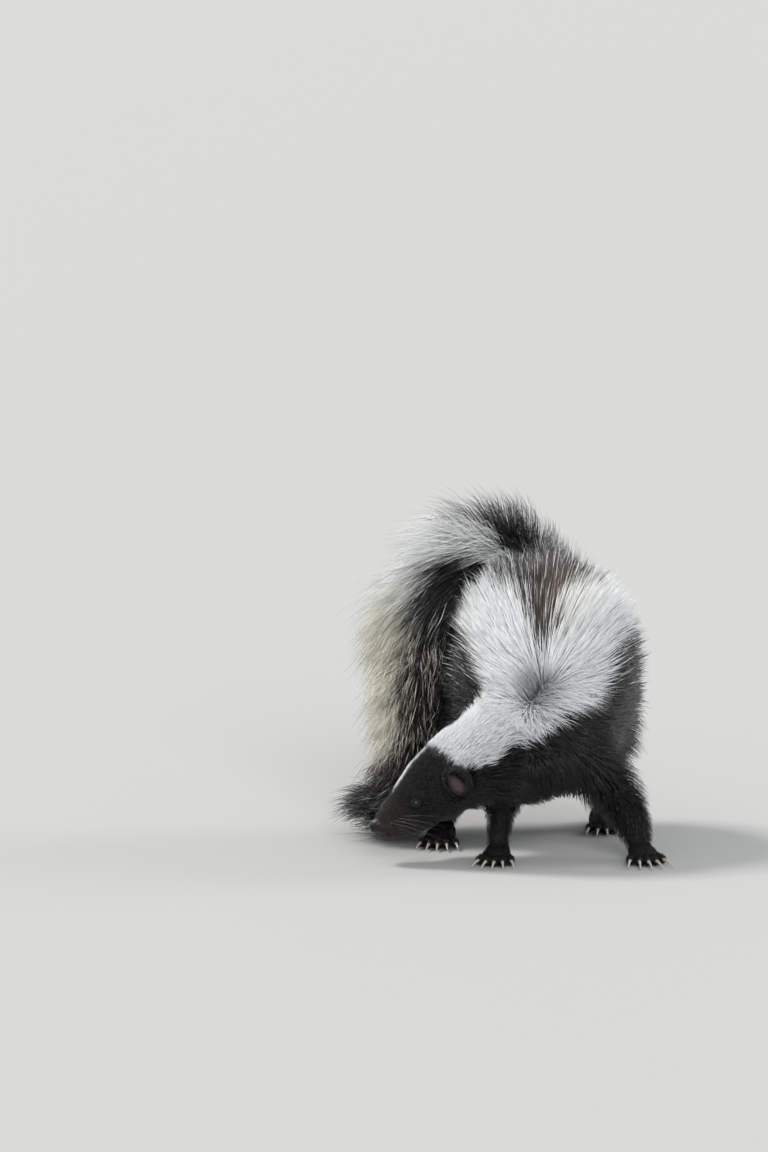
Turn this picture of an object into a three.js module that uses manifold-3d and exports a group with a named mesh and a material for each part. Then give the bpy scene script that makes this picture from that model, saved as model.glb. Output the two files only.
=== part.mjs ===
/*
 * A striped skunk as a still, life-size model. It stands with its back arched and its feet
 * apart, its neck bent so that the head points down to its right, and its bushy tail curled
 * over to the right and down to the floor.
 *
 * Millimetres, +Z up. The skunk faces -Y and its left side is towards +X.
 */
import * as THREE from "three";
import { mergeVertices } from "three/addons/utils/BufferGeometryUtils.js";
import Module from "manifold-3d";

const wasm = await Module();
wasm.setup();

// Sizes that drive the whole animal
const meetingGap = 0.3;
const rootDepth = 5; // how far a lock's root is sunk into the core

// Trunk, from the chest back to the root of the tail: the line through its middle, the half
// width, height above and depth below that line of the flesh, and the depth of coat on each.
// Core is how much of the coat's depth a smooth core fills under the locks, and square is how
// boxy the lower half of a section is: 1 is an oval.
const trunk = {
  path: [[2, 12, 73], [2, 45, 76], [3, 84, 90], [4, 124, 104], [6, 164, 117], [8, 196, 121], [9, 222, 125]],
  flesh: [[20, 18, 18], [36, 30, 31], [42, 39, 40], [46, 48, 46], [44, 50, 46], [34, 40, 36], [15, 17, 15]],
  coat: [[6, 8, 4], [13, 13, 5], [22, 22, 8], [30, 31, 12], [30, 38, 14], [28, 38, 18], [18, 26, 16]],
  core: 0.34,
  square: 0.75,
};

// Neck, from inside the back of the skull to inside the shoulders, as the trunk is
const neck = {
  path: [[-64, 30, 52], [-43, 38, 63], [-22, 45, 72], [2, 58, 80]],
  flesh: [[20, 26, 16], [26, 29, 25], [31, 30, 32], [32, 28, 34]],
  coat: [[4, 12, 2], [7, 11, 4], [10, 8, 5], [8, 8, 4]],
  core: 0.4,
  square: 1,
};

// Tail, from the rump to the tip, with the coat all round it
const tail = {
  path: [
    [9, 214, 140], [0, 226, 167], [-22, 226, 186], [-52, 216, 184], [-75, 196, 150],
    [-85, 170, 108], [-89, 144, 68], [-94, 122, 38], [-99, 113, 25], [-107, 108, 19],
  ],
  flesh: [12, 11, 10, 9, 8, 7, 6, 5, 4, 3],
  coat: [16, 32, 44, 44, 38, 34, 30, 28, 25, 21],
  core: 0.25,
  square: 1,
};

// Locks of the long coat: rows along the body and locks round each row, how long each is and
// how far it drifts round the body, how much it overlaps the lock beside it, and its thickness
const trunkLocks = {
  rows: 8, first: 0.03, last: 0.9, round: 11, long: 58, drift: 0.28, overlap: 1.1, thick: 4.5,
};
const neckLocks = {
  rows: 3, first: 0.3, last: 0.75, round: 9, long: 32, drift: 0.15, overlap: 1.1, thick: 3.5,
};
const tailLocks = {
  rows: 13, first: 0.04, last: 0.9, round: 7, long: 58, drift: 0, overlap: 1.25, thick: 4.5,
};
const legLocks = {
  rows: 2, first: 0.24, last: 0.42, round: 6, long: 27, drift: 0, overlap: 1.1, thick: 3.4,
};
const legCoat = [9, 7, 3, 2];

// A lock is drawn along four stations: its share of the lock's length, the share of the coat's
// depth, how deep it is sunk, and its width and thickness as shares of the widest
const lockStations = [
  { along: -0.14, share: 0, sunk: rootDepth, wide: 0.75, high: 0.8 },
  { along: 0.3, share: 0.62, sunk: 0, wide: 1, high: 1 },
  { along: 0.68, share: 0.88, sunk: 0, wide: 0.74, high: 0.7 },
  { along: 1, share: 0.98, sunk: 0, wide: 0, high: 0 },
];

// How much shorter and how much flatter a lock is tried where it would touch a neighbour
const lockTrials = [[1, 1], [0.85, 1], [0.75, 0.85], [0.6, 0.75], [0.45, 0.65]];
const lockClearance = 0.4;

// Head, with its own frame: the tip of the nose at the origin, +Y to the back of the skull,
// +Z to the crown and +X to the left cheek
const headTurn = -70;
const headDip = 22;
const headTilt = -12.5;
const noseTip = new THREE.Vector3(-115, 12, 25);
const skull = {
  back: [1, 6, 16, 26, 36, 46, 57, 68, 80, 92],
  sizes: [
    [6, 5, 6.5], [8.5, 8.5, 11], [10.5, 14, 15], [13.5, 20, 17], [18, 26, 18],
    [22.5, 31.5, 16.5], [25, 36, 15], [25.5, 40, 16.5], [24, 40, 19], [18, 30, 18],
  ],
};
const eye = { back: 32, rise: 4, out: 13.6, radius: 4.2 };
const ear = { back: 64, rise: 5, out: 26, radii: [6, 9, 11.5], wall: 1.4, facing: 28 };
const mouth = { cornerBack: 37, cornerDrop: -8, frontDrop: -6.5, groove: 0.7, lip: 1.5 };

// Legs: the line down each from inside the trunk to the paw, and its half widths
const legs = {
  foreleg_right: {
    path: [[-20, 46, 70], [-22, 52, 48], [-25, 34, 26], [-27, 22, 10]],
    sizes: [[20, 22, 22], [13, 15, 15], [9.5, 10, 10], [8.5, 9, 9]],
  },
  foreleg_left: {
    path: [[36, 50, 72], [54, 56, 50], [68, 38, 28], [76, 26, 10]],
    sizes: [[20, 22, 22], [18, 17, 17], [14, 13, 13], [11, 10, 10]],
  },
  hindleg_right: {
    path: [[-24, 144, 94], [-44, 118, 62], [-58, 114, 36], [-66, 106, 13]],
    sizes: [[24, 30, 30], [18, 24, 24], [12, 14, 14], [9, 11, 10]],
  },
  hindleg_left: {
    path: [[32, 160, 94], [44, 144, 64], [50, 160, 36], [50, 164, 13]],
    sizes: [[24, 30, 30], [18, 24, 24], [12, 14, 14], [9, 11, 10]],
  },
};

// Feet: where the paw's middle stands, which way it points in degrees from -Y towards +X,
// the length and half width of the paw and the length of its claws
const feet = {
  forefoot_right: { at: [-27, 14], turn: -6, length: 30, half: 10.5, claw: 13, leg: "foreleg_right" },
  forefoot_left: { at: [77, 18], turn: 10, length: 30, half: 11, claw: 15, leg: "foreleg_left" },
  hindfoot_right: { at: [-68, 89], turn: -4, length: 56, half: 11.5, claw: 9, leg: "hindleg_right" },
  hindfoot_left: { at: [50, 149], turn: 4, length: 56, half: 11.5, claw: 9, leg: "hindleg_left" },
};
const toeCount = 5;
const ankleHeight = 15;

const vector = (row) => new THREE.Vector3(...row);

/** Rows of three sizes, where one number stands for all three. */
const asRows = (rows) => rows.map((row) => (Array.isArray(row) ? row : Array(3).fill(row)));

/** A smooth curve through rows of three numbers, whether they are places or sizes. */
function smooth(rows) {
  return new THREE.CatmullRomCurve3(rows.map(vector), false, "catmullrom", 0.5);
}

/** A closed geometry as a solid that can be joined and cut. */
function solid(geometry) {
  const bare = geometry.clone();
  bare.deleteAttribute("normal");
  bare.deleteAttribute("uv");
  const merged = mergeVertices(bare, 1e-4);
  return new wasm.Manifold(
    new wasm.Mesh({
      numProp: 3,
      vertProperties: merged.attributes.position.array,
      triVerts: new Uint32Array(merged.index.array),
    }),
  );
}

/** The largest closed body of a solid. */
function largest(made) {
  return made.decompose().sort((a, b) => b.volume() - a.volume())[0];
}

/** The two sides of a solid on either side of a thin flat cut: before it, then after it. */
function partAt(made, point, direction) {
  const normal = direction.clone().normalize();
  const reach = normal.dot(point);
  const before = made.trimByPlane(normal.clone().negate().toArray(), -(reach - meetingGap / 2));
  const after = made.trimByPlane(normal.toArray(), reach + meetingGap / 2);
  return [largest(before), largest(after)];
}

/** A place on the outline of a section, which is an oval above and squarer below. */
function section(wide, high, square) {
  if (high > 0) return [wide, high];
  return [Math.sign(wide) * Math.abs(wide) ** square, -(Math.abs(high) ** square)];
}

/**
 * A closed body round a curved path. Each cross-section is an oval with its own half width,
 * height above and depth below the path, and the ends close in domes. Dome is how blunt the
 * ends are, and grow pushes the whole surface outwards.
 */
function limb({ path, sizes, up, sides, rings, dome = 6, square = 1 }, grow = 0) {
  const middle = smooth(path);
  const size = smooth(sizes);
  const geometry = new THREE.SphereGeometry(1, sides, rings);
  const vertex = geometry.attributes.position;
  for (let ring = 0; ring <= rings; ring++) {
    const share = ring / rings;
    const t = (share + 0.5 - 0.5 * Math.cos(Math.PI * share)) / 2;
    const closing = (1 - Math.abs(2 * t - 1) ** dome) ** (1 / dome);
    const end = ring === 0 ? -1 : ring === rings ? 1 : 0;
    const tangent = middle.getTangent(t);
    const side = up.clone().cross(tangent).normalize();
    const above = tangent.clone().cross(side);
    const centre = middle.getPoint(t).addScaledVector(tangent, end * grow);
    const reach = size.getPoint(t).multiplyScalar(closing).addScalar(end ? 0 : grow);
    for (let step = 0; step <= sides; step++) {
      const turn = (2 * Math.PI * (step % sides)) / sides;
      const [wide, high] = section(Math.cos(turn), Math.sin(turn), square);
      const place = centre
        .clone()
        .addScaledVector(side, -wide * reach.x)
        .addScaledVector(above, high * (high > 0 ? reach.y : reach.z));
      if (end) place.copy(centre);
      vertex.setXYZ(ring * (sides + 1) + step, ...place.toArray());
    }
  }
  return solid(geometry);
}

/**
 * The surface of a furred body, as a function that gives the place at a share t of its length
 * and an angle round it from the top, with a share of the coat's depth over the flesh, sunk by
 * a distance. It closes in front as a limb does and less behind, where it goes on straight.
 */
function furSurface({ path, flesh, coat, square, up }) {
  const middle = smooth(path);
  const fleshSize = smooth(asRows(flesh));
  const coatSize = smooth(asRows(coat));
  const length = middle.getLength();
  return (t, around, share, sunk = 0) => {
    const at = THREE.MathUtils.clamp(t, 0.03, 0.97);
    const tangent = middle.getTangent(at);
    const left = tangent.clone().cross(up).normalize();
    const above = left.clone().cross(tangent);
    const bare = fleshSize.getPoint(at);
    const hair = coatSize.getPoint(at);
    const [wide, high] = section(Math.sin(around), Math.cos(around), square);
    const axis = high > 0 ? "y" : "z";
    const front = (1 - (1 - 2 * THREE.MathUtils.clamp(t, 0, 0.5)) ** 6) ** (1 / 6);
    const closing = front * Math.sqrt(1 - THREE.MathUtils.clamp((t - 0.8) / 0.4, 0, 1) ** 2);
    return middle
      .getPoint(at)
      .addScaledVector(tangent, (t - at) * length + sunk * (1 - front))
      .addScaledVector(left, wide * closing * (bare.x + share * hair.x - sunk))
      .addScaledVector(above, high * closing * (bare[axis] + share * hair[axis] - sunk));
  };
}

/**
 * One flat, tapered lock with a ridge along its outside. It starts inside the core and bends
 * along the lie of the coat out to its tip. Grow makes it thicker all round.
 */
function lockOfHair(surface, { t, around, reach, drift, half, thick, lift, core }, grow = 0) {
  const last = lockStations.length - 1;
  const points = lockStations.map(({ along, share, sunk }) =>
    surface(t + reach * along, around + drift * along, sunk ? core : share * lift, sunk),
  );
  const outward = surface(t, around, 2).sub(surface(t, around, 0)).normalize();
  const geometry = new THREE.ConeGeometry(1, 1, 3, last);
  const vertex = geometry.attributes.position;
  const corners = [[0, 0.65], [1, -0.35], [-1, -0.35]];
  for (let i = 0; i < vertex.count; i++) {
    const row = Math.round((vertex.getY(i) + 0.5) * last);
    const along = points[Math.min(row + 1, last)].clone().sub(points[Math.max(row - 1, 0)]).normalize();
    const across = along.clone().cross(outward).normalize();
    const above = across.clone().cross(along);
    const place = points[row].clone();
    if (Math.hypot(vertex.getX(i), vertex.getZ(i)) > 1e-6) {
      const turn = Math.atan2(vertex.getX(i), vertex.getZ(i)) / (2 * Math.PI) + 1;
      const [wide, high] = corners[Math.round(turn * 3) % 3];
      place
        .addScaledVector(across, wide * (half * lockStations[row].wide + 3 * grow))
        .addScaledVector(above, high * thick * lockStations[row].high + Math.sign(high) * grow);
    } else {
      place.addScaledVector(along, row === 0 ? -grow : 2 * grow);
    }
    vertex.setXYZ(i, ...place.toArray());
  }
  return solid(geometry);
}

/** A row of seeded random numbers between -1 and 1. */
function chances(seed) {
  let state = seed;
  return () => {
    state = (Math.imul(state, 1664525) + 1013904223) >>> 0;
    return state / 2 ** 31 - 1;
  };
}

/** True where two solids share no space. */
function apart(a, b) {
  const [boxA, boxB] = [a.boundingBox(), b.boundingBox()];
  for (let axis = 0; axis < 3; axis++) {
    if (boxA.max[axis] < boxB.min[axis] || boxB.max[axis] < boxA.min[axis]) return true;
  }
  return a.intersect(b).isEmpty();
}

/** The seeded places and sizes of a body's locks, row by row along it. */
function planOfLocks(surface, form, locks, seed) {
  const draw = chances(seed);
  const length = smooth(form.path).getLength();
  const pitch = (locks.last - locks.first) / (locks.rows - 1);
  const plan = [];
  for (let row = 0; row < locks.rows; row++) {
    for (let place = 0; place < locks.round; place++) {
      const around = ((place + 0.5 * (row % 2) + 0.2 * draw()) / locks.round) * 2 * Math.PI;
      const t = locks.first + pitch * (row + 0.2 * draw());
      const longer = 1 + 0.15 * draw();
      const drift = locks.drift * Math.sin(around) + 0.06 * draw();
      const wider = 1 + 0.12 * draw();
      const lift = 1 + 0.06 * draw();
      const stride = surface(t + 0.06, around, 0.7).distanceTo(surface(t, around, 0.7)) / 0.06;
      const reach = (longer * locks.long) / Math.max(stride, 0.8 * length);
      const [left, right] = [1, -1].map((way) =>
        surface(t + longer * 0.12, around + (way * Math.PI) / locks.round, 0.7),
      );
      const half = (wider * locks.overlap * left.distanceTo(right)) / 2;
      plan.push({ t, around, reach, drift, half, lift, thick: locks.thick, core: form.core });
    }
  }
  return plan;
}

/**
 * A core with its locks, in rows along the body that overlap as roof tiles do. A lock that would
 * come too near a neighbour is tried shorter and flatter, and left out where none fits. Only
 * locks rooted between the two shares of the length are made.
 */
function withLocks(core, form, locks, neighbours, seed, [start, end] = [0, 1]) {
  const surface = furSurface(form);
  const made = [core];
  for (const lock of planOfLocks(surface, form, locks, seed)) {
    if (lock.t < start || lock.t >= end) continue;
    const fitting = lockTrials
      .map(([longer, higher]) => ({ ...lock, reach: lock.reach * longer, lift: lock.lift * higher }))
      .find((trial) => {
        const grown = lockOfHair(surface, trial, lockClearance);
        return neighbours.every((neighbour) => apart(grown, neighbour));
      });
    if (fitting) made.push(lockOfHair(surface, fitting));
  }
  return largest(wasm.Manifold.union(made));
}

/** An oval ball at a place, with its three half sizes. */
function ball(place, radii, sides = 12, rings = 8) {
  const geometry = new THREE.SphereGeometry(1, sides, rings);
  geometry.scale(...radii).translate(...place);
  return solid(geometry);
}

/** The core under the long coat: the flesh and a share of the coat together, row by row. */
function coreForm({ path, flesh, coat, core, square }, more) {
  const sizes = asRows(flesh).map((row, i) => row.map((size, k) => size + core * asRows(coat)[i][k]));
  return { path, sizes, square, ...more };
}

const skyward = new THREE.Vector3(0, 0, 1);
const rearward = new THREE.Vector3(0, 1, 0);

// Where the head sits: its frame, and the same frame for a solid
const headPose = new THREE.Matrix4()
  .makeRotationFromEuler(
    new THREE.Euler(
      THREE.MathUtils.degToRad(headDip),
      THREE.MathUtils.degToRad(headTilt),
      THREE.MathUtils.degToRad(headTurn),
      "ZXY",
    ),
  )
  .setPosition(noseTip);
const onHead = (made) => made.transform(headPose.elements);
const headPoint = (...place) => vector(place).applyMatrix4(headPose);
const headAxis = (...direction) => vector(direction).transformDirection(headPose);

const skullSize = smooth(skull.sizes);
const skullPath = smooth(skull.back.map((back) => [0, back, 0]));

/** Half the head's width at a distance behind the nose and a height above its middle line. */
function cheekAt(back, rise) {
  let [low, high] = [0, 1];
  for (let step = 0; step < 30; step++) {
    const t = (low + high) / 2;
    if (skullPath.getPoint(t).y < back) low = t;
    else high = t;
  }
  const size = skullSize.getPoint(low);
  const share = rise / (rise > 0 ? size.y : size.z);
  return size.x * Math.sqrt(Math.max(0, 1 - share * share));
}

/** Half the eye's surface is bare, in a socket with an upper and a lower lid round it. */
function eyeball(side, grow = 0) {
  const { back, rise, out, radius } = eye;
  return ball([side * out, back, rise], Array(3).fill(radius + grow), 10, 8);
}

function eyelids(side) {
  const ring = new THREE.TorusGeometry(eye.radius, 1.3, 5, 12);
  ring.scale(1.15, 0.85, 1);
  const outward = new THREE.Vector3(side, -0.45, 0.25).normalize();
  ring.applyQuaternion(new THREE.Quaternion().setFromUnitVectors(skyward, outward));
  ring.translate(side * (eye.out + 1.4), eye.back - 0.6, eye.rise + 0.3);
  return solid(ring);
}

/** The line of the lips round the muzzle, from the left corner of the mouth to the right. */
function lipLine(radius) {
  const { cornerBack, cornerDrop, frontDrop } = mouth;
  const steps = [1, 0.78, 0.56, 0.36, 0.2];
  const half = (side) =>
    steps.map((share) => {
      const back = 2 + (cornerBack - 2) * share;
      const drop = frontDrop + (cornerDrop - frontDrop) * share;
      return [side * cheekAt(back, drop), back, drop];
    });
  const path = [...half(1), [0, 3.2, frontDrop], ...half(-1).reverse()];
  return limb({
    path,
    sizes: path.map(() => Array(3).fill(radius)),
    up: skyward,
    sides: 4,
    rings: 18,
    dome: 12,
  });
}

function noseLeather(grow = 0) {
  const pad = {
    path: [[0, -2.2, 0.6], [0, 1, 0.4], [0, 5, 0.6], [0, 9, 1]],
    sizes: [[5.6, 4.4, 4.4], [6.6, 5, 5.4], [6.2, 5, 5], [4, 4, 4]],
    up: skyward,
    sides: 8,
    rings: 5,
    dome: 3,
  };
  return limb(pad, grow);
}

/** Each nostril opens forwards and to its side, with the comma's tail as a slit behind it. */
function nostril(side) {
  const hole = ball([side * 3, -2.4, 0.8], [1.5, 3, 1.7], 6, 4);
  const slit = ball([side * 5.6, -0.2, 0.2], [2.4, 2.2, 0.7], 6, 4);
  return hole.add(slit);
}

function nose() {
  const seam = new THREE.BoxGeometry(0.8, 2.4, 6).translate(0, -2.6, -3.6);
  return largest(noseLeather().subtract(nostril(1)).subtract(nostril(-1)).subtract(solid(seam)));
}

const skullForm = {
  path: skull.back.map((back) => [0, back, 0]),
  sizes: skull.sizes,
  up: skyward,
  sides: 22,
  rings: 18,
  dome: 8,
};

/** The skull with the muscles of its cheeks. */
function skullAndCheeks(grow = 0) {
  const cheek = [9.5, 15, 13].map((radius) => radius + grow);
  let made = limb(skullForm, grow);
  for (const side of [1, -1]) made = made.add(ball([side * 16, 52, -3], cheek, 10, 6));
  return made;
}

/** The head's flesh: skull and cheeks, whisker pads, chin, lips and lids. */
function face() {
  let made = skullAndCheeks();
  for (const side of [1, -1]) {
    made = made
      .add(ball([side * 5.5, 9, -2.6], [5.6, 8.5, 5], 10, 6))
      .subtract(ball([side * 19.5, 30, 4.5], [5.2, 7.5, 6], 10, 6));
  }
  made = made.add(lipLine(mouth.lip));
  made = made.subtract(lipLine(mouth.groove).translate(0, -0.9, -0.2));
  for (const side of [1, -1]) made = made.add(eyelids(side));
  return made;
}

/** A rounded ear as a cup that opens outwards and forwards. */
function pinna(side) {
  const { back, rise, out, radii, wall, facing } = ear;
  const cup = ball([0, 0, 0], radii, 12, 8);
  const hollow = ball([side * radii[0], 0, 0], radii.map((radius) => radius - wall), 10, 6);
  return cup
    .subtract(hollow)
    .rotate([0, 0, -side * facing])
    .translate(side * out, back, rise);
}

/** A claw that curves down to its tip, from its root inside the toe. */
function claw(root, forward, length) {
  const path = [[-3, 1.2], [0, 1], [0.55 * length, -0.4], [length, -0.28 * length]].map(([reach, rise]) =>
    root.clone().addScaledVector(forward, reach).addScaledVector(skyward, rise).toArray(),
  );
  const sizes = [1.7, 1.9, 1.4, 0.5].map((half) => [0.75 * half, half, half]);
  return limb({ path, sizes, up: skyward, sides: 4, rings: 3, dome: 4 });
}

/** A flat-footed paw with five toes and their claws, standing flat on the floor. */
function paw({ at, turn, length, half, claw: clawLength }) {
  const heading = THREE.MathUtils.degToRad(turn);
  const forward = new THREE.Vector3(Math.sin(heading), -Math.cos(heading), 0);
  const left = new THREE.Vector3(Math.cos(heading), Math.sin(heading), 0);
  const place = (ahead, aside, height) =>
    new THREE.Vector3(at[0], at[1], height).addScaledVector(forward, ahead).addScaledVector(left, aside);
  const sole = [[-0.5, 0.72, 7.5], [-0.2, 0.85, 7], [0.15, 1, 6], [0.42, 0.95, 4.8]];
  let made = limb({
    path: sole.map(([ahead, , height]) => place(ahead * length, 0, height).toArray()),
    sizes: sole.map(([, wide, height]) => [wide * half, height, height + 0.8]),
    up: skyward,
    sides: 10,
    rings: 6,
    dome: 3,
  });
  for (let toe = 0; toe < toeCount; toe++) {
    const across = toe / (toeCount - 1) - 0.5;
    const root = place(0.36 * length - 5 * across * across * 4, across * 1.7 * half, 4.2);
    const splay = forward.clone().addScaledVector(left, 0.55 * across).normalize();
    const knuckle = root.clone().addScaledVector(splay, 7);
    const end = root.clone().addScaledVector(splay, 12).setZ(3);
    const path = [root.toArray(), knuckle.setZ(4.4).toArray(), end.toArray()];
    const sizes = [[3, 3.4, 4.6], [2.9, 2.8, 4.8], [2.4, 2.4, 3.4]];
    made = made.add(limb({ path, sizes, up: skyward, sides: 5, rings: 3, dome: 3 }));
    made = made.add(claw(end.clone().setZ(3.4), splay, clawLength));
  }
  return largest(made.trimByPlane([0, 0, 1], 0));
}

/** A leg from inside the trunk to inside its paw. */
function leg({ path, sizes }, grow = 0) {
  return limb({ path, sizes, up: rearward, sides: 8, rings: 7, dome: 5 }, grow);
}

// The trunk and the tail with their coats, and the neck
const trunkForm = coreForm(trunk, { up: skyward, sides: 16, rings: 13 });
const tailForm = coreForm(tail, { up: rearward, sides: 7, rings: 20, dome: 5 });
const neckForm = coreForm(neck, { up: skyward, sides: 14, rings: 9 });

const torso = limb(trunkForm);
const torsoSpace = limb(trunkForm, meetingGap);

// Head and neck are joined first, then cut apart behind the ears
const nape = onHead(face()).add(limb(neckForm));
const napePoint = headPoint(0, 78, 0);
const napeAxis = headAxis(0, 1, 0.35);
const [headPart, neckPart] = partAt(nape, napePoint, napeAxis);
const neckSpace = limb(neckForm, meetingGap);
let head = headPart.subtract(onHead(noseLeather(meetingGap)));
const ears = {};
for (const [name, side] of [["ear_left", 1], ["ear_right", -1]]) {
  ears[name] = largest(onHead(pinna(side)).subtract(onHead(skullAndCheeks(meetingGap))).subtract(neckSpace));
  head = head.subtract(onHead(eyeball(side, meetingGap)));
}
head = largest(head.subtract(torsoSpace));
const throat = largest(neckPart.subtract(torsoSpace));

const nodes = {
  head,
  nose: onHead(nose()),
  ...ears,
  eye_left: onHead(eyeball(1)),
  eye_right: onHead(eyeball(-1)),
};
for (const [name, form] of Object.entries(feet)) {
  const whole = paw(form).add(leg(legs[form.leg]));
  const [foot, shank] = partAt(whole, new THREE.Vector3(0, 0, ankleHeight), skyward);
  nodes[name] = foot;
  nodes[form.leg] = largest(shank.subtract(torsoSpace).subtract(neckSpace));
}

// The tail's core is cut into four lengths
const thighSpace = leg(legs.hindleg_right, meetingGap);
const tailCurve = smooth(tail.path);
const tailCuts = {
  tail_root: [0, 0.29], tail_arch: [0.29, 0.53], tail_fall: [0.53, 0.77], tail_tip: [0.77, 1],
};
const tailCores = {};
let tailRest = limb(tailForm).subtract(torsoSpace).subtract(thighSpace);
for (const [name, [, end]] of Object.entries(tailCuts)) {
  if (end === 1) tailCores[name] = largest(tailRest);
  else [tailCores[name], tailRest] = partAt(tailRest, tailCurve.getPoint(end), tailCurve.getTangent(end));
}

// Then the long coat: the trunk's first, the neck's over it, the legs', and the tail's from its
// tip up
const standing = (...more) => [...Object.values(tailCores), ...Object.values(nodes), ...more];
nodes.torso = withLocks(torso, { ...trunk, up: skyward }, trunkLocks, standing(throat), 11);
nodes.neck = withLocks(throat, { ...neck, up: skyward }, neckLocks, standing(), 23);
for (const [name, { path, sizes }] of Object.entries(legs)) {
  const { [name]: core } = nodes;
  delete nodes[name];
  const form = { path, flesh: sizes, coat: legCoat, core: 0, square: 1, up: rearward };
  nodes[name] = withLocks(core, form, legLocks, standing(), 51);
}
for (const [name, share] of Object.entries(tailCuts).reverse()) {
  const { [name]: core } = tailCores;
  delete tailCores[name];
  const made = withLocks(core, { ...tail, up: rearward }, tailLocks, standing(), 37, share);
  nodes[name] = largest(made.trimByPlane([0, 0, 1], 0));
}

const finishes = {
  coat: { color: 0x1b1816, roughness: 0.75, metalness: 0 },
  nape: { color: 0xe8e4da, roughness: 0.8, metalness: 0 },
  leather: { color: 0x1a1412, roughness: 0.45, metalness: 0 },
  eye: { color: 0x080606, roughness: 0.08, metalness: 0 },
};
const finishOf = { nose: "leather", eye_left: "eye", eye_right: "eye", neck: "nape" };

const skunk = new THREE.Group();
for (const [name, made] of Object.entries(nodes)) {
  const { vertProperties, triVerts } = made.getMesh();
  const geometry = new THREE.BufferGeometry()
    .setAttribute("position", new THREE.BufferAttribute(vertProperties, 3))
    .setIndex(new THREE.BufferAttribute(triVerts, 1));
  geometry.computeVertexNormals();
  const mesh = new THREE.Mesh(geometry, new THREE.MeshStandardMaterial(finishes[finishOf[name] ?? "coat"]));
  mesh.name = name;
  skunk.add(mesh);
}

// The part's origin is on the floor, under the middle of the whole animal
const reach = new THREE.Box3().setFromObject(skunk);
const middle = reach.getCenter(new THREE.Vector3());
skunk.position.set(-middle.x, -middle.y, -reach.min.z);

export default skunk;
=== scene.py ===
"""A striped skunk as a still, life-size model: one skin under a long black and white coat.

Run as a script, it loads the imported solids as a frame, makes the skin, the coat, the eyes, the
nose, the claws and the whiskers, and sets a plain studio round them. Metres, +Z up. The skunk
faces -Y and its left side is towards +X.
"""
import math
from functools import partial

import bpy
import numpy as np
from bpy.props import FloatProperty, FloatVectorProperty, PointerProperty
from mathutils import Matrix, Vector


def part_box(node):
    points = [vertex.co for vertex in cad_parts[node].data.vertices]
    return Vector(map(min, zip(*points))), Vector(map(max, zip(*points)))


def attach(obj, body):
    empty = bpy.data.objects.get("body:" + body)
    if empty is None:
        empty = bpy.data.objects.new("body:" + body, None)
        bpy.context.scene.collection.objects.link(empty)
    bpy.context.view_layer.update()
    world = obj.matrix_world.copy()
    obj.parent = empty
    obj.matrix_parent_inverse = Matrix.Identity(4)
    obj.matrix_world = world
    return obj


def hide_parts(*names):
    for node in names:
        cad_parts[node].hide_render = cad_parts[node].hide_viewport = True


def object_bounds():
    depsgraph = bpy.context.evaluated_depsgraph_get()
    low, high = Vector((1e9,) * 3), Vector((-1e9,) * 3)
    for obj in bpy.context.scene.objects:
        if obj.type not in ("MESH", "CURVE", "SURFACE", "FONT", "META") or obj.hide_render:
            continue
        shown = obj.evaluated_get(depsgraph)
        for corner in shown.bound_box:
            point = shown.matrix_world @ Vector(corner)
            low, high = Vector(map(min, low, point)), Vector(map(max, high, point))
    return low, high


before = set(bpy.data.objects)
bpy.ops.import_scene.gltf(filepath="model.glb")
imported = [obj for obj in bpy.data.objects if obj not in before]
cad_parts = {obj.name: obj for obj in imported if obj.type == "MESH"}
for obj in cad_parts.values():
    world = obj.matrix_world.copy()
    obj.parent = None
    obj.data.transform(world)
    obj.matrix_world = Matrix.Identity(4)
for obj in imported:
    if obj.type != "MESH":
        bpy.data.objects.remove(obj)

solids_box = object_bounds()

bl_info = {
    "name": "Striped skunk",
    "version": (1, 0, 0),
    "blender": (4, 5, 0),
    "location": "View3D > Sidebar > Skunk",
    "description": "Builds the skin, coat and fine parts of a still striped skunk, and its studio",
    "category": "Object",
}

MM = 0.001
UP = np.array([0.0, 0.0, 1.0])
BACK = np.array([0.0, 1.0, 0.0])

# Trunk, neck and tail in millimetres, as the solids have them: the line through the middle of
# each, then for each place on it the half width, height above and depth below of the flesh, and
# the depth of the coat over each. Lean is how far the hair reaches along the body for each
# millimetre that it stands out, dense how thickly it grows, and ends what is added to its
# direction at each end. Square is how boxy the lower half of a section is, droop how far the hair
# turns down the sides, and blend how softly the limb runs into the rest.
TRUNK = dict(
    path=[
        [2, 12, 73], [2, 45, 76], [3, 84, 90], [4, 124, 104], [6, 164, 117], [8, 196, 121], [9, 222, 125],
    ],
    flesh=[
        [20, 18, 18], [36, 30, 31], [42, 39, 40], [46, 48, 46], [44, 50, 46], [34, 40, 36], [15, 17, 15],
    ],
    coat=[[9, 10, 6], [15, 15, 8], [22, 22, 10], [30, 31, 12], [30, 38, 14], [28, 38, 18], [18, 26, 16]],
    lean=[1.7, 1.65, 1.55, 1.4, 1.2, 1.0, 0.9],
    up=UP,
    square=0.75,
    droop=0.45,
    ends=([0, 0.1, -1.2], [0, -0.2, -1.2]),
)
NECK = dict(
    path=[[-64, 30, 52], [-43, 38, 63], [-22, 45, 72], [2, 58, 80]],
    flesh=[[20, 26, 16], [26, 29, 25], [31, 30, 32], [32, 28, 34]],
    coat=[[5, 11, 3], [8, 12, 5], [10, 10, 6], [10, 10, 6]],
    lean=[1.3, 1.3, 1.4, 1.5],
    up=UP,
    blend=14,
)
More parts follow.
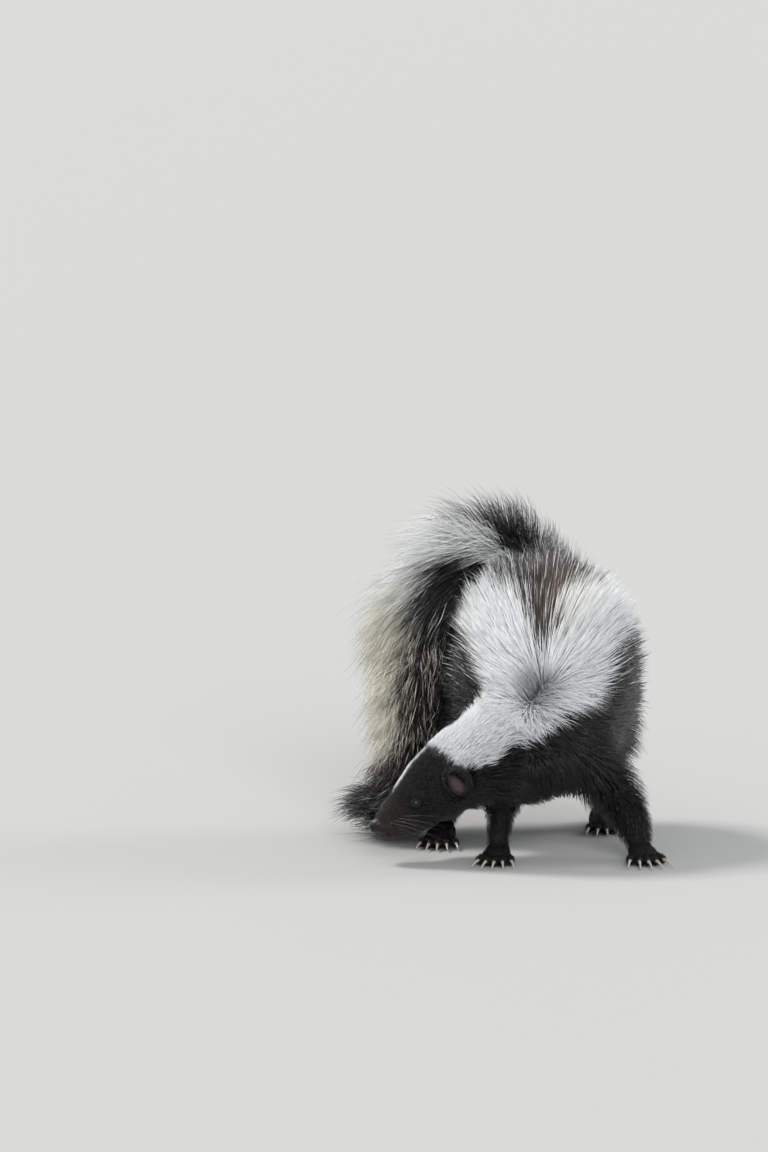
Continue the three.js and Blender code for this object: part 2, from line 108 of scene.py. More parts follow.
TAIL = dict(
    path=[
        [9, 214, 140], [0, 226, 167], [-22, 226, 186], [-52, 216, 184], [-75, 196, 150],
        [-85, 170, 108], [-89, 144, 68], [-94, 122, 38], [-99, 113, 25], [-107, 108, 19],
    ],
    flesh=[12, 11, 10, 9, 8, 7, 6, 5, 4, 3],
    coat=[14, 25, 37, 38, 34, 30, 28, 32, 35, 36],
    lean=[0.5, 0.45, 0.6, 1.1, 1.25, 1.3, 1.2, 0.8, 0.55, 0.5],
    up=BACK,
    blend=10,
    ends=([0, 0, 0], [-0.9, 0, 0.6]),
    dense=[0.8, 0.8, 0.8, 0.8, 0.9, 1, 1.2, 2, 3, 3.2],
)

# Head: how it is turned, in degrees, where the nose's tip is, and its sections behind the nose
HEAD_TURN, HEAD_DIP, HEAD_TILT = -70, 22, -12.5
NOSE_TIP = [-115, 12, 25]
SKULL_BACK = [1, 6, 16, 26, 36, 46, 57, 68, 80, 92]
SKULL_SIZES = [
    [6, 5, 6.5], [8.5, 8.5, 11], [10.5, 14, 15], [13.5, 20, 17], [18, 26, 18],
    [22.5, 31.5, 16.5], [25, 36, 15], [25.5, 40, 16.5], [24, 40, 19], [18, 30, 18],
]
HEAD_FUR = [0.4, 0.6, 0.8, 1.1, 1.6, 2.2, 3, 4.2, 6, 8]
HEAD_LEAN = [3.4, 3.4, 3.4, 3.2, 2.9, 2.5, 2.1, 1.8, 1.5, 1.4]

# Eyes, ears and mouth. Places on the head are in its own frame: out to the left, back from the
# nose's tip, and up. An ear is an oval ball with a hollow that opens outwards, turned by facing.
EYE = dict(at=(13.6, 32, 4), radius=4.2)
EAR = dict(
    at=(26, 64, 5), radii=(5.8, 8.8, 11.2), hollow=(6.6, 6.3, 8.6), open=2.8, facing=28,
    blend=1.6, fur=1.6, lean=2.2,
)
MOUTH = dict(corner=37, corner_drop=-8, front_drop=-6.5, groove=0.9, lip=0.7, width=1.3)

# Forms on each side of the face: the middle, the half sizes and how softly each is blended in
CHEEK = ((15, 52, -3), (8, 14, 12), 6)
WHISKER_PAD = ((5.2, 9, -2.6), (4.9, 8, 4.4), 2)
BROW = ((13, 38, 9.5), (4, 7, 3), 4)
EYE_SOCKET = ((18.6, 29.6, 4.2), (4.6, 6.4, 5.2), 2.5)

# The box round the face and ears: its middle and its half sizes
FACE_BOX = ((0, 45, 5), (55, 65, 60))

# Legs: the line down each from inside the trunk to its paw, its half widths with the short fur,
# and how deep that fur is
HIND = dict(outside=[[24, 30, 30], [18, 24, 24], [12, 14, 14], [9, 11, 10]], fur=[14, 11, 6, 2])
LEGS = {
    "foreleg_right": dict(
        path=[[-20, 46, 70], [-22, 52, 48], [-25, 34, 26], [-27, 22, 10]],
        outside=[[20, 22, 22], [13, 15, 15], [9.5, 10, 10], [8.5, 9, 9]],
        fur=[12, 6, 3, 1.6],
    ),
    "foreleg_left": dict(
        path=[[36, 50, 72], [54, 56, 50], [68, 38, 28], [76, 26, 10]],
        outside=[[20, 22, 22], [18, 17, 17], [14, 13, 13], [11, 10, 10]],
        fur=[14, 10, 5, 2],
    ),
    "hindleg_right": dict(HIND, path=[[-24, 144, 94], [-44, 118, 62], [-58, 114, 36], [-66, 106, 13]]),
    "hindleg_left": dict(HIND, path=[[32, 160, 94], [44, 144, 64], [50, 160, 36], [50, 164, 13]]),
}

# Paws: where each stands, how it is turned in degrees, its length and half width without the
# toes, how long its claws are, and how many toes and how deep a fur all of them have
PAWS = {
    "forefoot_right": dict(at=(-27, 14), turn=-6, length=30, half=10.5, claw=13),
    "forefoot_left": dict(at=(77, 18), turn=10, length=30, half=11, claw=15),
    "hindfoot_right": dict(at=(-68, 89), turn=-4, length=56, half=11.5, claw=9),
    "hindfoot_left": dict(at=(50, 149), turn=4, length=56, half=11.5, claw=9),
}
TOES = 5
PAW_FUR = 1.1

# Camera: how far it stands from the ground under the skunk's chest, how high it looks from, how
# long its lens is, and how it is turned from there
CAMERA_DISTANCE = 5.5
CAMERA_HEIGHT_ANGLE = 11.0
CAMERA_PITCH, CAMERA_YAW = 8.84526, 1.14367
CAMERA_LENS, CAMERA_FILM = 240.6, 36.0

# Lights: where each shines from, its width in degrees, its strength and its colour
LIGHTS = {
    "key": ((-1.7, 1.3, 2.3), 13, 2.7, (1.0, 0.975, 0.94)),
    "front_fill": ((0.6, -2.6, 1.7), 35, 1.7, (0.96, 0.98, 1.0)),
    "side_rim": ((2.2, 1.2, 1.3), 20, 0.9, (1.0, 0.98, 0.95)),
}
AIR_COLOUR, AIR_STRENGTH = (0.9, 0.95, 1.0, 1), 0.68
FLOOR_COLOUR, FLOOR_HALF = (0.41, 0.405, 0.393), 14.0

# How far from a limb it still counts for its coat and for its skin, the size of the skin's
# faces, how far the skin stays over the floor, and the seed of the random numbers
FAR = 0.1
NEAR = 0.03
SKIN_STEP = 1.35 * MM
FLOOR_GAP = 0.3 * MM
SEED = 4321


def unit(rows):
    """Rows of vectors, each divided by its own length."""
    return rows / np.maximum(np.linalg.norm(rows, axis=-1, keepdims=True), 1e-12)


def dot(a, b):
    """The dot product of rows with rows."""
    return np.einsum("ij,ij->i", a, b)


def turned(angle, axis):
    """The matrix that turns by an angle in degrees about x, y or z."""
    return np.array(Matrix.Rotation(math.radians(angle), 3, axis))


HEAD_AXES = turned(HEAD_TURN, "Z") @ turned(HEAD_DIP, "X") @ turned(HEAD_TILT, "Y")


def design_head(*place):
    """A place in the head's own frame, in millimetres from the nose's tip, on the whole body."""
    return HEAD_AXES @ np.array(place, float) + np.array(NOSE_TIP, float)


ORIGIN = np.array(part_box("eye_left")).mean(0) - MM * design_head(*EYE["at"])


def placed(rows):
    """Places in the solids' own millimetres, moved to where the frame has them, in metres."""
    return np.asarray(rows, float) * MM + ORIGIN


def on_head(points):
    """Metre places on the body, turned into millimetres in the head's own frame."""
    return (points - placed(NOSE_TIP)) @ HEAD_AXES / MM


def mirrored(place, side):
    """A place on the head's left side, or for side -1 the same place on its right."""
    return np.array(place, float) * (side, 1, 1)


def smooth_rows(rows, steps):
    """A uniform Catmull-Rom curve through the rows, taken at steps from 0 to 1."""
    rows = np.asarray(rows, float)
    rows = np.vstack([2 * rows[0] - rows[1], rows, 2 * rows[-1] - rows[-2]])
    place = np.clip(steps, 0, 1) * (len(rows) - 3)
    start = np.minimum(place.astype(int), len(rows) - 4)
    share = (place - start)[:, None]
    before, here, there, after = (rows[start + k] for k in range(4))
    leave, arrive = (there - before) / 2, (after - here) / 2
    return (
        here
        + leave * share
        + (3 * (there - here) - 2 * leave - arrive) * share**2
        + (2 * (here - there) + leave + arrive) * share**3
    )


def three_each(rows):
    """Rows of three sizes, where one number stands for all three."""
    return np.array([row if np.ndim(row) else [row] * 3 for row in rows], float)


def ramp(value, start, end):
    """0 before start, 1 past end, and straight between them; start may be above end."""
    return np.clip((value - start) / (end - start), 0, 1)


def within(value, edge, soft):
    """1 below an edge and 0 above it, with a straight ramp of half width soft between."""
    return ramp(value, edge + soft, edge - soft)


def varied(random, count, least, spread):
    """Random numbers from least up to least + spread."""
    return least + spread * random.random(count)


class Limb:
    """A part of the body: oval sections along a smooth path, closed at both ends by domes.

    A section's radius in a direction is that of an oval with the section's half sizes, boxier
    below where square is under 1, times (1 - |2t - 1|^dome)^(1/dome) for the dome.
    """

    def __init__(
        self, path, flesh, coat, lean, up, square=1.0, dome=4.0, blend=6.0, droop=0.0,
        ends=((0, 0, 0), (0, 0, 0)), dense=None, count=48,
    ):
        steps = np.linspace(0, 1, count)
        self.last = count - 1
        self.centre = smooth_rows(placed(path), steps)
        along = np.gradient(self.centre, steps, axis=0)
        self.speed = np.linalg.norm(along, axis=1)
        self.tangent = unit(along)
        self.left = unit(np.cross(self.tangent, up))
        self.above = np.cross(self.left, self.tangent)
        self.flesh = smooth_rows(three_each(flesh) * MM, steps)
        self.coat = smooth_rows(three_each(coat) * MM, steps)
        self.hair = smooth_rows(np.stack([lean, dense or [1] * len(lean)], 1), steps)
        self.ends = np.array(ends, float)
        self.square, self.dome, self.blend, self.droop = square, dome, blend * MM, droop
        self.low = (self.centre - self.flesh.max(1)[:, None]).min(0)
        self.high = (self.centre + self.flesh.max(1)[:, None]).max(0)

    def near(self, points, margin):
        """Which points are near enough to matter."""
        return np.flatnonzero(((points > self.low - margin) & (points < self.high + margin)).all(1))

    def measure(self, points):
        """How far points are outside the flesh, where they lie along and round it, and how deep
        the coat is there, how it leans and grows, and its lie.

        The first is the distance from the line through the middle, less the section's radius.
        """
        gap = (self.centre**2).sum(1) - 2 * points @ self.centre.T
        nearest = gap.argmin(1)
        ahead = dot(points - self.centre[nearest], self.tangent[nearest])
        t = np.clip(nearest / self.last + ahead / self.speed[nearest], 0, 1)
        first = np.minimum((t * self.last).astype(int), self.last - 1)
        share = (t * self.last - first)[:, None]

        def here(rows):
            return rows[first] * (1 - share) + rows[first + 1] * share

        offset = points - here(self.centre)
        left, above, tangent = here(self.left), here(self.above), here(self.tangent)
        aside, over, past = dot(offset, left), dot(offset, above), dot(offset, tangent)
        around = np.arctan2(aside, over)
        sine, cosine = np.sin(around), np.cos(around)
        flesh, coat = here(self.flesh), here(self.coat)
        pick = np.where(over > 0, 1, 2)
        rows = np.arange(len(points))
        power = np.where(over > 0, 2.0, 2.0 / self.square)
        share_of = np.abs(sine / flesh[:, 0]) ** power + np.abs(cosine / flesh[rows, pick]) ** power
        closing = np.maximum(1 - np.abs(2 * t - 1) ** self.dome, 0) ** (1 / self.dome)
        value = np.sqrt(aside**2 + over**2 + past**2) - closing * share_of ** (-1 / power)
        depth = np.hypot(sine * coat[:, 0], cosine * coat[rows, pick])
        down_round = left * cosine[:, None] - above * sine[:, None]
        lie = tangent + self.droop * sine[:, None] * down_round
        lie = lie + ramp(t, 0.22, 0.04)[:, None] * self.ends[0]
        lie = lie + ramp(t, 0.84, 0.98)[:, None] * self.ends[1]
        return value, t, around, depth, here(self.hair), lie


def head_form():
    """The skull without its fur, from the nose back."""
    fur = np.array(HEAD_FUR)[:, None]
    return dict(
        path=[design_head(0, back, 0) for back in SKULL_BACK],
        flesh=np.array(SKULL_SIZES) - fur,
        coat=np.repeat(fur, 3, 1) + 0.4,
        lean=HEAD_LEAN,
        up=HEAD_AXES[:, 2],
        dome=6,
        blend=9,
    )


def leg_form(path, outside, fur):
    """A leg without its fur."""
    fur = np.array(fur, float)[:, None]
    return dict(
        path=path,
        flesh=np.array(outside) - 0.8 * fur,
        coat=np.repeat(fur, 3, 1),
        lean=[1.5, 1.7, 2, 2.4],
        up=BACK,
        blend=12,
    )


def paw_axes(at, turn):
    """Where a paw stands, and its forward and left directions."""
    heading = math.radians(turn)
    forward = np.array([math.sin(heading), -math.cos(heading), 0])
    left = np.array([math.cos(heading), math.sin(heading), 0])
    return np.array([*at, 0.0]), forward, left


def paw_form(at, turn, length, half, claw):
    """The flat of a paw, from the heel to the toes, without its fur."""
    stand, forward, _ = paw_axes(at, turn)
    rows = [(-0.5, 0.72, 7.5), (-0.2, 0.85, 7), (0.15, 1, 6), (0.42, 0.95, 4.8)]
    return dict(
        path=[stand + forward * ahead * length + UP * height for ahead, _, height in rows],
        flesh=[[wide * half - PAW_FUR, height - PAW_FUR, height + 0.4] for _, wide, height in rows],
        coat=[PAW_FUR] * 4,
        lean=[3.3] * 4,
        up=UP,
        dome=3,
        blend=5,
        count=16,
    )


def toe_line(paw, toe):
    """The root, knuckle and end of a toe, and the way it points."""
    stand, forward, left = paw_axes(paw["at"], paw["turn"])
    across = toe / (TOES - 1) - 0.5
    root = stand + forward * (0.36 * paw["length"] - 20 * across**2) + left * across * 1.7 * paw["half"]
    splay = unit(forward + 0.55 * across * left)
    return root + UP * 4.2, root + 7 * splay + UP * 4.6, root + 12 * splay + UP * 3.2, splay


def toe_form(paw, toe):
    """One toe without its fur."""
    root, knuckle, end, _ = toe_line(paw, toe)
    return dict(
        path=[root, knuckle, end],
        flesh=[[2.7, 3.0, 3.9], [2.6, 2.5, 4.0], [2.1, 2.0, 2.9]],
        coat=[0.8] * 3,
        lean=[3.3] * 3,
        up=UP,
        dome=3,
        blend=1.6,
        count=10,
    )


def body_limbs():
    """Every limb of the body with the name of its part, in the order that they are blended."""
    forms = {"trunk": TRUNK, "neck": NECK, "head": head_form(), "tail": TAIL}
    forms.update({name: leg_form(**leg) for name, leg in LEGS.items()})
    limbs = [(name, Limb(**form)) for name, form in forms.items()]
    for name, form in PAWS.items():
        limbs.append((name, Limb(**paw_form(**form))))
        limbs += [(name, Limb(**toe_form(form, toe))) for toe in range(TOES)]
    return limbs


LIMBS = body_limbs()
PARTS = list(dict.fromkeys([name for name, _ in LIMBS] + ["ears"]))
PART = {name: index for index, name in enumerate(PARTS)}


def oval(places, centre, radii):
    """About how far places are outside an oval ball: |p/r| (|p/r| - 1) / |p/r^2|."""
    offset = places - np.array(centre, float)
    near = np.linalg.norm(offset / radii, axis=1)
    steep = np.linalg.norm(offset / np.square(radii), axis=1)
    return near * (near - 1) / np.maximum(steep, 1e-9)


def join(a, b, width):
    """The lower of two distances with a rounded crease, and the share that the second has."""
    share = np.clip(0.5 + 0.5 * (a - b) / width, 0, 1)
    return a * (1 - share) + b * share - width * share * (1 - share), share


def carve(a, b, width):
    """A distance with a second one cut out of it, with a rounded rim."""
    return -join(-a, b, width)[0]


def bell(offset, width):
    """A rounded bump of height 1 that fades over about its width."""
    return np.exp(-((offset / width) ** 2))


def ear_cup(places, side):
    """How far places on the head are outside the wall of an ear, an oval ball less another, how
    far they are outside its hollow, and where they are in the ear's own frame."""
    own = (places - mirrored(EAR["at"], side)) @ turned(-side * EAR["facing"], "Z")
    cup = oval(own, (0, 0, 0), np.array(EAR["radii"]))
    hollow = oval(own, (side * EAR["open"], 0, 0.4), np.array(EAR["hollow"]))
    return carve(cup, hollow, 0.7), hollow, own


def in_ears(places, margin):
    """Whether places are in the hollow of an ear, or within a margin of it."""
    return np.minimum(ear_cup(places, 1)[1], ear_cup(places, -1)[1]) < margin


def ear_bare(places):
    """How bare the skin is inside the ears: most in the lower front of each hollow."""
    share = np.zeros(len(places))
    for side in (1, -1):
        _, hollow, own = ear_cup(places, side)
        inside = (hollow < 0.5) & (np.abs(own[:, 1]) < 12) & (side * own[:, 0] < 5)
        front = ramp(own[:, 1] + 0.6 * own[:, 2], 2.5, -0.5)
        share = np.maximum(share, inside * front * ramp(side * own[:, 0], 3.2, 2.2))
    return share


def lip_height(places):
    """How high the line of the mouth is, from under the nose to the corner."""
    share = np.clip(places[:, 1] / MOUTH["corner"], 0, 1)
    return MOUTH["front_drop"] + (MOUTH["corner_drop"] - MOUTH["front_drop"]) * share


def face_forms(value, places):
    """The cheeks, whisker pads, eye sockets, brows, lips and mouth, in the head's frame."""
    for side in (1, -1):
        for middle, sizes, soft in (CHEEK, WHISKER_PAD, BROW):
            value, _ = join(value, oval(places, mirrored(middle, side), sizes), soft)
        middle, sizes, soft = EYE_SOCKET
        value = carve(value, oval(places, mirrored(middle, side), sizes), soft)
    side_way, back, rise = np.abs(places[:, 0]), places[:, 1], places[:, 2]
    drop = lip_height(places)
    mouth = bell(rise - drop, MOUTH["width"]) * np.clip((MOUTH["corner"] - back) / 3, 0, 1)
    lips = bell(rise - drop + 2.4, 2.2) + bell(rise - drop - 2.2, 2.2)
    lips *= np.clip((MOUTH["corner"] - back) / 8, 0, 1) * np.clip(side_way / 3, 0, 1)
    return value + MOUTH["groove"] * mouth - 0.5 * MOUTH["lip"] * lips


def body_distance(points):
    """How far points are outside the flesh of the whole body, in metres."""
    value = np.full(len(points), FAR)
    for _, limb in LIMBS:
        near = limb.near(points, NEAR)
        if len(near):
            value[near] = join(value[near], limb.measure(points[near])[0], limb.blend)[0]
    return with_face(value, points)[0]


def with_face(value, points):
    """The distance with the face's forms and the ears added near the head, and the ears' share."""
    places = on_head(points)
    near = (np.abs(places - FACE_BOX[0]) < FACE_BOX[1]).all(1)
    ears = np.zeros(len(points))
    if near.any():
        local = face_forms(value[near] / MM, places[near])
        for side in (1, -1):
            local, share = join(local, ear_cup(places[near], side)[0], EAR["blend"])
            ears[near] = np.maximum(ears[near], share)
        value = value.copy()
        value[near] = local * MM
    return np.maximum(value, FLOOR_GAP - points[:, 2]), ears


def survey(points):
    """The distance at points, with the coat's lie and depth and each point's place on its part."""
    count = len(points)
    value, depth = np.full(count, FAR), np.zeros(count)
    part, t, around = np.zeros(count, int), np.zeros(count), np.zeros(count)
    lie, hair = np.zeros((count, 3)), np.ones((count, 2))
    for name, limb in LIMBS:
        near = limb.near(points, FAR)
        if not len(near):
            continue
        own, own_t, own_around, own_depth, own_hair, own_lie = limb.measure(points[near])
        value[near], share = join(value[near], own, limb.blend)
        depth[near] += (own_depth - depth[near]) * share
        hair[near] += (own_hair - hair[near]) * share[:, None]
        lie[near] += (own_lie - lie[near]) * share[:, None]
        mine = near[share > 0.5]
        part[mine], t[mine], around[mine] = PART[name], own_t[share > 0.5], own_around[share > 0.5]
    value, ears = with_face(value, points)
    lie += (HEAD_AXES @ np.array([0, 0.5, 1.0]) - lie) * ears[:, None]
    depth += (EAR["fur"] * MM - depth) * ears
    hair += ((EAR["lean"], 1) - hair) * ears[:, None]
    part[ears > 0.5] = PART["ears"]
    found = dict(value=value, depth=depth, part=part, t=t, around=around, lie=lie)
    return dict(found, lean=hair[:, 0], dense=hair[:, 1])


def steepest(points, value):
    """The direction in which the distance grows, by small steps along each axis."""
    step = 0.4 * MM
    slopes = [(body_distance(points + step * axis) - value) / step for axis in np.eye(3)]
    return np.stack(slopes, 1)


class Lattice:
    """Seeded random numbers on a lattice, read smoothly in between, as a soft noise."""

    def __init__(self, seed, channels=1):
        self.values = np.random.default_rng(seed).uniform(-1, 1, (32, 32, 32, channels))

    def at(self, points, size):
        """The noise at points, with bumps about a size across."""
        place = points / size
        cell = np.floor(place).astype(int)
        share = place - cell
        share = share * share * (3 - 2 * share)
        total = 0
        for corner in np.ndindex(2, 2, 2):
            weight = np.prod(np.where(corner, share, 1 - share), axis=1)[:, None]
            total = total + weight * self.values[tuple(((cell + corner) % 32).T)]
        return total


# Edges of the stripes in degrees round the trunk from the middle of the back, at shares of its
# length from the chest: the dark middle's half width, then the outer edges left and right
STRIPE = dict(
    t=[0, 0.1, 0.2, 0.25, 0.33, 0.42, 0.5, 0.56, 0.64, 0.75, 0.88, 1],
    inner=[-20, -20, -20, -12, 3, 7, 10, 21, 26, 30, 32, 34],
    left=[-16, 6, 26, 44, 51, 48, 49, 56, 57, 52, 46, 42],
    right=[46, 46, 46, 46, 42, 41, 50, 58, 56, 50, 46, 42],
)

# The white nape: its edges round the neck, and where it starts on the head
NAPE = dict(
    t=[0, 0.1, 0.25, 0.45, 0.6, 0.8, 1],
    left=[55, 60, 70, 75, 64, 56, 50],
    right=70,
    start=0.675,
    slant=0.06,
)

# The tail's white ring, whose place along the tail moves as it goes round, and its pale fringe:
# its middle and half width in degrees round the tail, and where along the tail it starts and ends
RING = dict(
    turn=[0, 60, 150, 180, 210, 260, 310, 360],
    t=[0.28, 0.22, 0.155, 0.205, 0.29, 0.345, 0.335, 0.28],
    half=0.05,
)
FRINGE = dict(turn=286, half=72, start=0.37, end=0.70)


def marking(found, points):
    """How white the coat is, how warm its black or white and how frosted the tips of its black, whose
    silver is partly real and partly painted glint.

    A stripe is an interval of the angle round the trunk whose edges move along the body; the
    nape is the same on the neck; the blaze is a line along the crown. The tail has a white ring
    that winds over its arch, a pale fringe down its outer side and a black tip.
    """
    part, t, around = found["part"], found["t"], np.degrees(found["around"])
    places = on_head(points)
    wobble = Lattice(7).at(points, 8 * MM)[:, 0]
    white, warm, frost_and_glint = np.zeros((3, len(points)))

    trunk = part == PART["trunk"]
    angle = around + 4 * wobble
    inner, left, right = (np.interp(t, STRIPE["t"], STRIPE[key]) for key in ("inner", "left", "right"))
    stripe = ramp(np.abs(angle), inner - 5, inner + 5)
    stripe *= within(angle, left, 6) * within(-angle, right, 6)
    stripe *= ramp(t, 0.03, 0.06) * ramp(t, 0.94, 0.88)
    # Scattered white hairs on the flanks by the stripes: partly real, partly painted glints
    stray_white_and_glint = 0.2 * ramp(np.abs(angle), 80, 60) * ramp(t, 0.2, 0.35)
    white[trunk] = np.maximum(stripe, stray_white_and_glint)[trunk]
    warm[trunk] = (bell(around - 10, 14) * bell(t - 0.5, 0.13))[trunk]
    # Frosted tips on the rump: partly real silver tips, partly painted glints
    frost_and_glint[trunk] = (ramp(t, 0.55, 0.75) * 0.35 * ramp(np.abs(around), 110, 70))[trunk]

    neck = part == PART["neck"]
    edge = np.interp(t, NAPE["t"], NAPE["left"])
    white[neck] = (within(angle, edge, 5) * within(-angle, NAPE["right"], 5))[neck]

    head = part == PART["head"]
    front = NAPE["start"] + NAPE["slant"] * ramp(np.abs(around), 12, 50)
    cap = ramp(t, front - 0.02 + 0.01 * wobble, front + 0.02 + 0.01 * wobble)
    blaze = ramp(np.abs(places[:, 0]), 2.2 + 0.5 * wobble, 1.2 + 0.5 * wobble)
    blaze *= ramp(places[:, 1], 20, 24) * ramp(places[:, 1], 60, 54) * (places[:, 2] > 0)
    cap *= (np.abs(around) < 90) & ~in_ears(places, 2)
    white[head] = np.maximum(cap, 0.9 * blaze)[head]
    warm[head] = (0.16 * ramp(places[:, 1], 40, 10))[head]

    tail = part == PART["tail"]
    turn = (around + 5 * wobble) % 360
    middle = np.interp(turn, RING["turn"], RING["t"])
    ring = within(np.abs(t + 0.012 * wobble - middle), RING["half"], 0.012)
    ring *= ramp(np.abs(turn - 80), 25, 50)
    fringe = within(np.abs(turn - FRINGE["turn"]), FRINGE["half"], 8)
    fringe *= ramp(t + 0.02 * wobble, FRINGE["start"] - 0.02, FRINGE["start"] + 0.02)
    fringe *= within(t + 0.02 * wobble, FRINGE["end"], 0.03)
    # Scattered white hairs down the tail's fall: partly real, partly painted glints
    stray_white_and_glint = 0.26 * ramp(t, 0.36, 0.45) * ramp(t, 0.75, 0.68)
    white[tail] = np.maximum(np.maximum(ring, fringe), stray_white_and_glint)[tail]
    warm[tail] = (0.15 + 0.85 * ramp(t, 0.36, 0.46))[tail]
    # Frosted tips on the tail: partly real silver tips, partly painted glints
    frost_and_glint[tail] = (0.5 * ramp(t, 0.16, 0.1) + 0.3 * ramp(t, 0.7, 0.8))[tail]
    return white, warm, frost_and_glint


def level_surface(distance, low, high, step):
    """The closed surface where a distance is zero, as points and four-sided faces.

    The distance is taken on a lattice, first coarsely, then again at the points near the
    surface. Each cell that the surface crosses gets one point, the mean of the crossings on its
    edges, and each lattice edge that it crosses gets one face through the four cells round it.
    """
    coarse_step, band = 4, 5.5
    counts = np.ceil((high - low) / (coarse_step * step)).astype(int) * coarse_step + 1
    axes = [low[axis] + step * np.arange(counts[axis]) for axis in range(3)]

    coarse_axes = [axis[::coarse_step] for axis in axes]
    lattice = np.stack(np.meshgrid(*coarse_axes, indexing="ij"), -1)
    coarse = distance(lattice.reshape(-1, 3)).reshape(lattice.shape[:3])
    values = coarse
    for axis in range(3):
        between = np.linspace(0, coarse.shape[axis] - 1, counts[axis])
        start = np.minimum(between.astype(int), coarse.shape[axis] - 2)
        shape = [1, 1, 1]
        shape[axis] = -1
        share = (between - start).reshape(shape)
        values = np.take(values, start, axis) * (1 - share) + np.take(values, start + 1, axis) * share
    close = np.flatnonzero(np.abs(values.ravel()) < band * step)
    grid = np.unravel_index(close, values.shape)
    values = values.ravel()
    values[close] = distance(np.stack([axes[axis][grid[axis]] for axis in range(3)], 1))
    values = values.reshape(counts)

    cells = counts - 1
    total, hits = np.zeros((*cells, 3)), np.zeros(cells)
    faces = []
    numbers = np.arange(cells.prod()).reshape(cells)
    for axis in range(3):
        first, second = np.moveaxis(values, axis, 0)[:-1], np.moveaxis(values, axis, 0)[1:]
        crossed = (first < 0) != (second < 0)
        i, j, k = np.nonzero(crossed)
        share = first[i, j, k] / (first[i, j, k] - second[i, j, k])
        place = np.empty((len(i), 3))
        others = [other for other in range(3) if other != axis]
        place[:, axis], place[:, others[0]], place[:, others[1]] = i + share, j, k
        inner = (j > 0) & (k > 0) & (j < counts[others[0]] - 1) & (k < counts[others[1]] - 1)
        i, j, k, place = i[inner], j[inner], k[inner], place[inner]
        leaving = first[i, j, k] < 0
        corners = []
        for dj, dk in ((-1, -1), (0, -1), (0, 0), (-1, 0)):
            cell = np.empty((3, len(i)), int)
            cell[axis], cell[others[0]], cell[others[1]] = i, j + dj, k + dk
            number = numbers[tuple(cell)]
            np.add.at(total.reshape(-1, 3), number, place)
            np.add.at(hits.reshape(-1), number, 1)
            corners.append(number)
        quad = np.stack(corners, 1)
        forward = leaving if axis != 1 else ~leaving
        faces.append(np.where(forward[:, None], quad, quad[:, ::-1]))
    used = np.flatnonzero(hits.ravel())
    renumber = np.full(hits.size, -1)
    renumber[used] = np.arange(len(used))
    points = low + step * total.reshape(-1, 3)[used] / hits.ravel()[used][:, None]
    return points, renumber[np.vstack(faces)]


def make_mesh(name, points, faces, attributes=None, smooth=True):
    """A mesh object from whole arrays of points and of faces that all have the same count."""
    mesh = bpy.data.meshes.new(name)
    sides = faces.shape[1]
    mesh.vertices.add(len(points))
    mesh.vertices.foreach_set("co", np.ascontiguousarray(points, np.float32).ravel())
    mesh.loops.add(faces.size)
    mesh.loops.foreach_set("vertex_index", np.ascontiguousarray(faces, np.int32).ravel())
    mesh.polygons.add(len(faces))
    mesh.polygons.foreach_set("loop_start", np.arange(0, faces.size, sides, dtype=np.int32))
    mesh.polygons.foreach_set("loop_total", np.full(len(faces), sides, np.int32))
    for key, values in (attributes or {}).items():
        layer = mesh.attributes.new(key, "FLOAT", "POINT")
        layer.data.foreach_set("value", np.ascontiguousarray(values, np.float32))
    mesh.update(calc_edges=True)
    mesh.polygons.foreach_set("use_smooth", np.full(len(faces), smooth))
    mesh.validate()
    piece = bpy.data.objects.new(name, mesh)
    bpy.context.scene.collection.objects.link(piece)
    return piece


def dress(piece, material, slot, *nodes):
    """A finished piece gets its material, rides on the body and replaces nodes; its slot is not used."""
    piece.data.materials.append(material)
    if nodes:
        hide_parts(*nodes)
    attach(piece, "root")
    return piece


class Value:
    """A number socket in a material, so that sums on it add their Math nodes."""

    def __init__(self, finish, socket):
        self.finish, self.socket = finish, socket

    def math(self, operation, first, second):
        return self.finish.node("ShaderNodeMath", {"operation": operation}, {0: first, 1: second})

    def __radd__(self, other):
        return self.math("ADD", other, self)

    def __rsub__(self, other):
        return self.math("SUBTRACT", other, self)

    def __mul__(self, other):
        return self.math("MULTIPLY", self, other)

    def __pow__(self, other):
        return self.math("POWER", self, other)


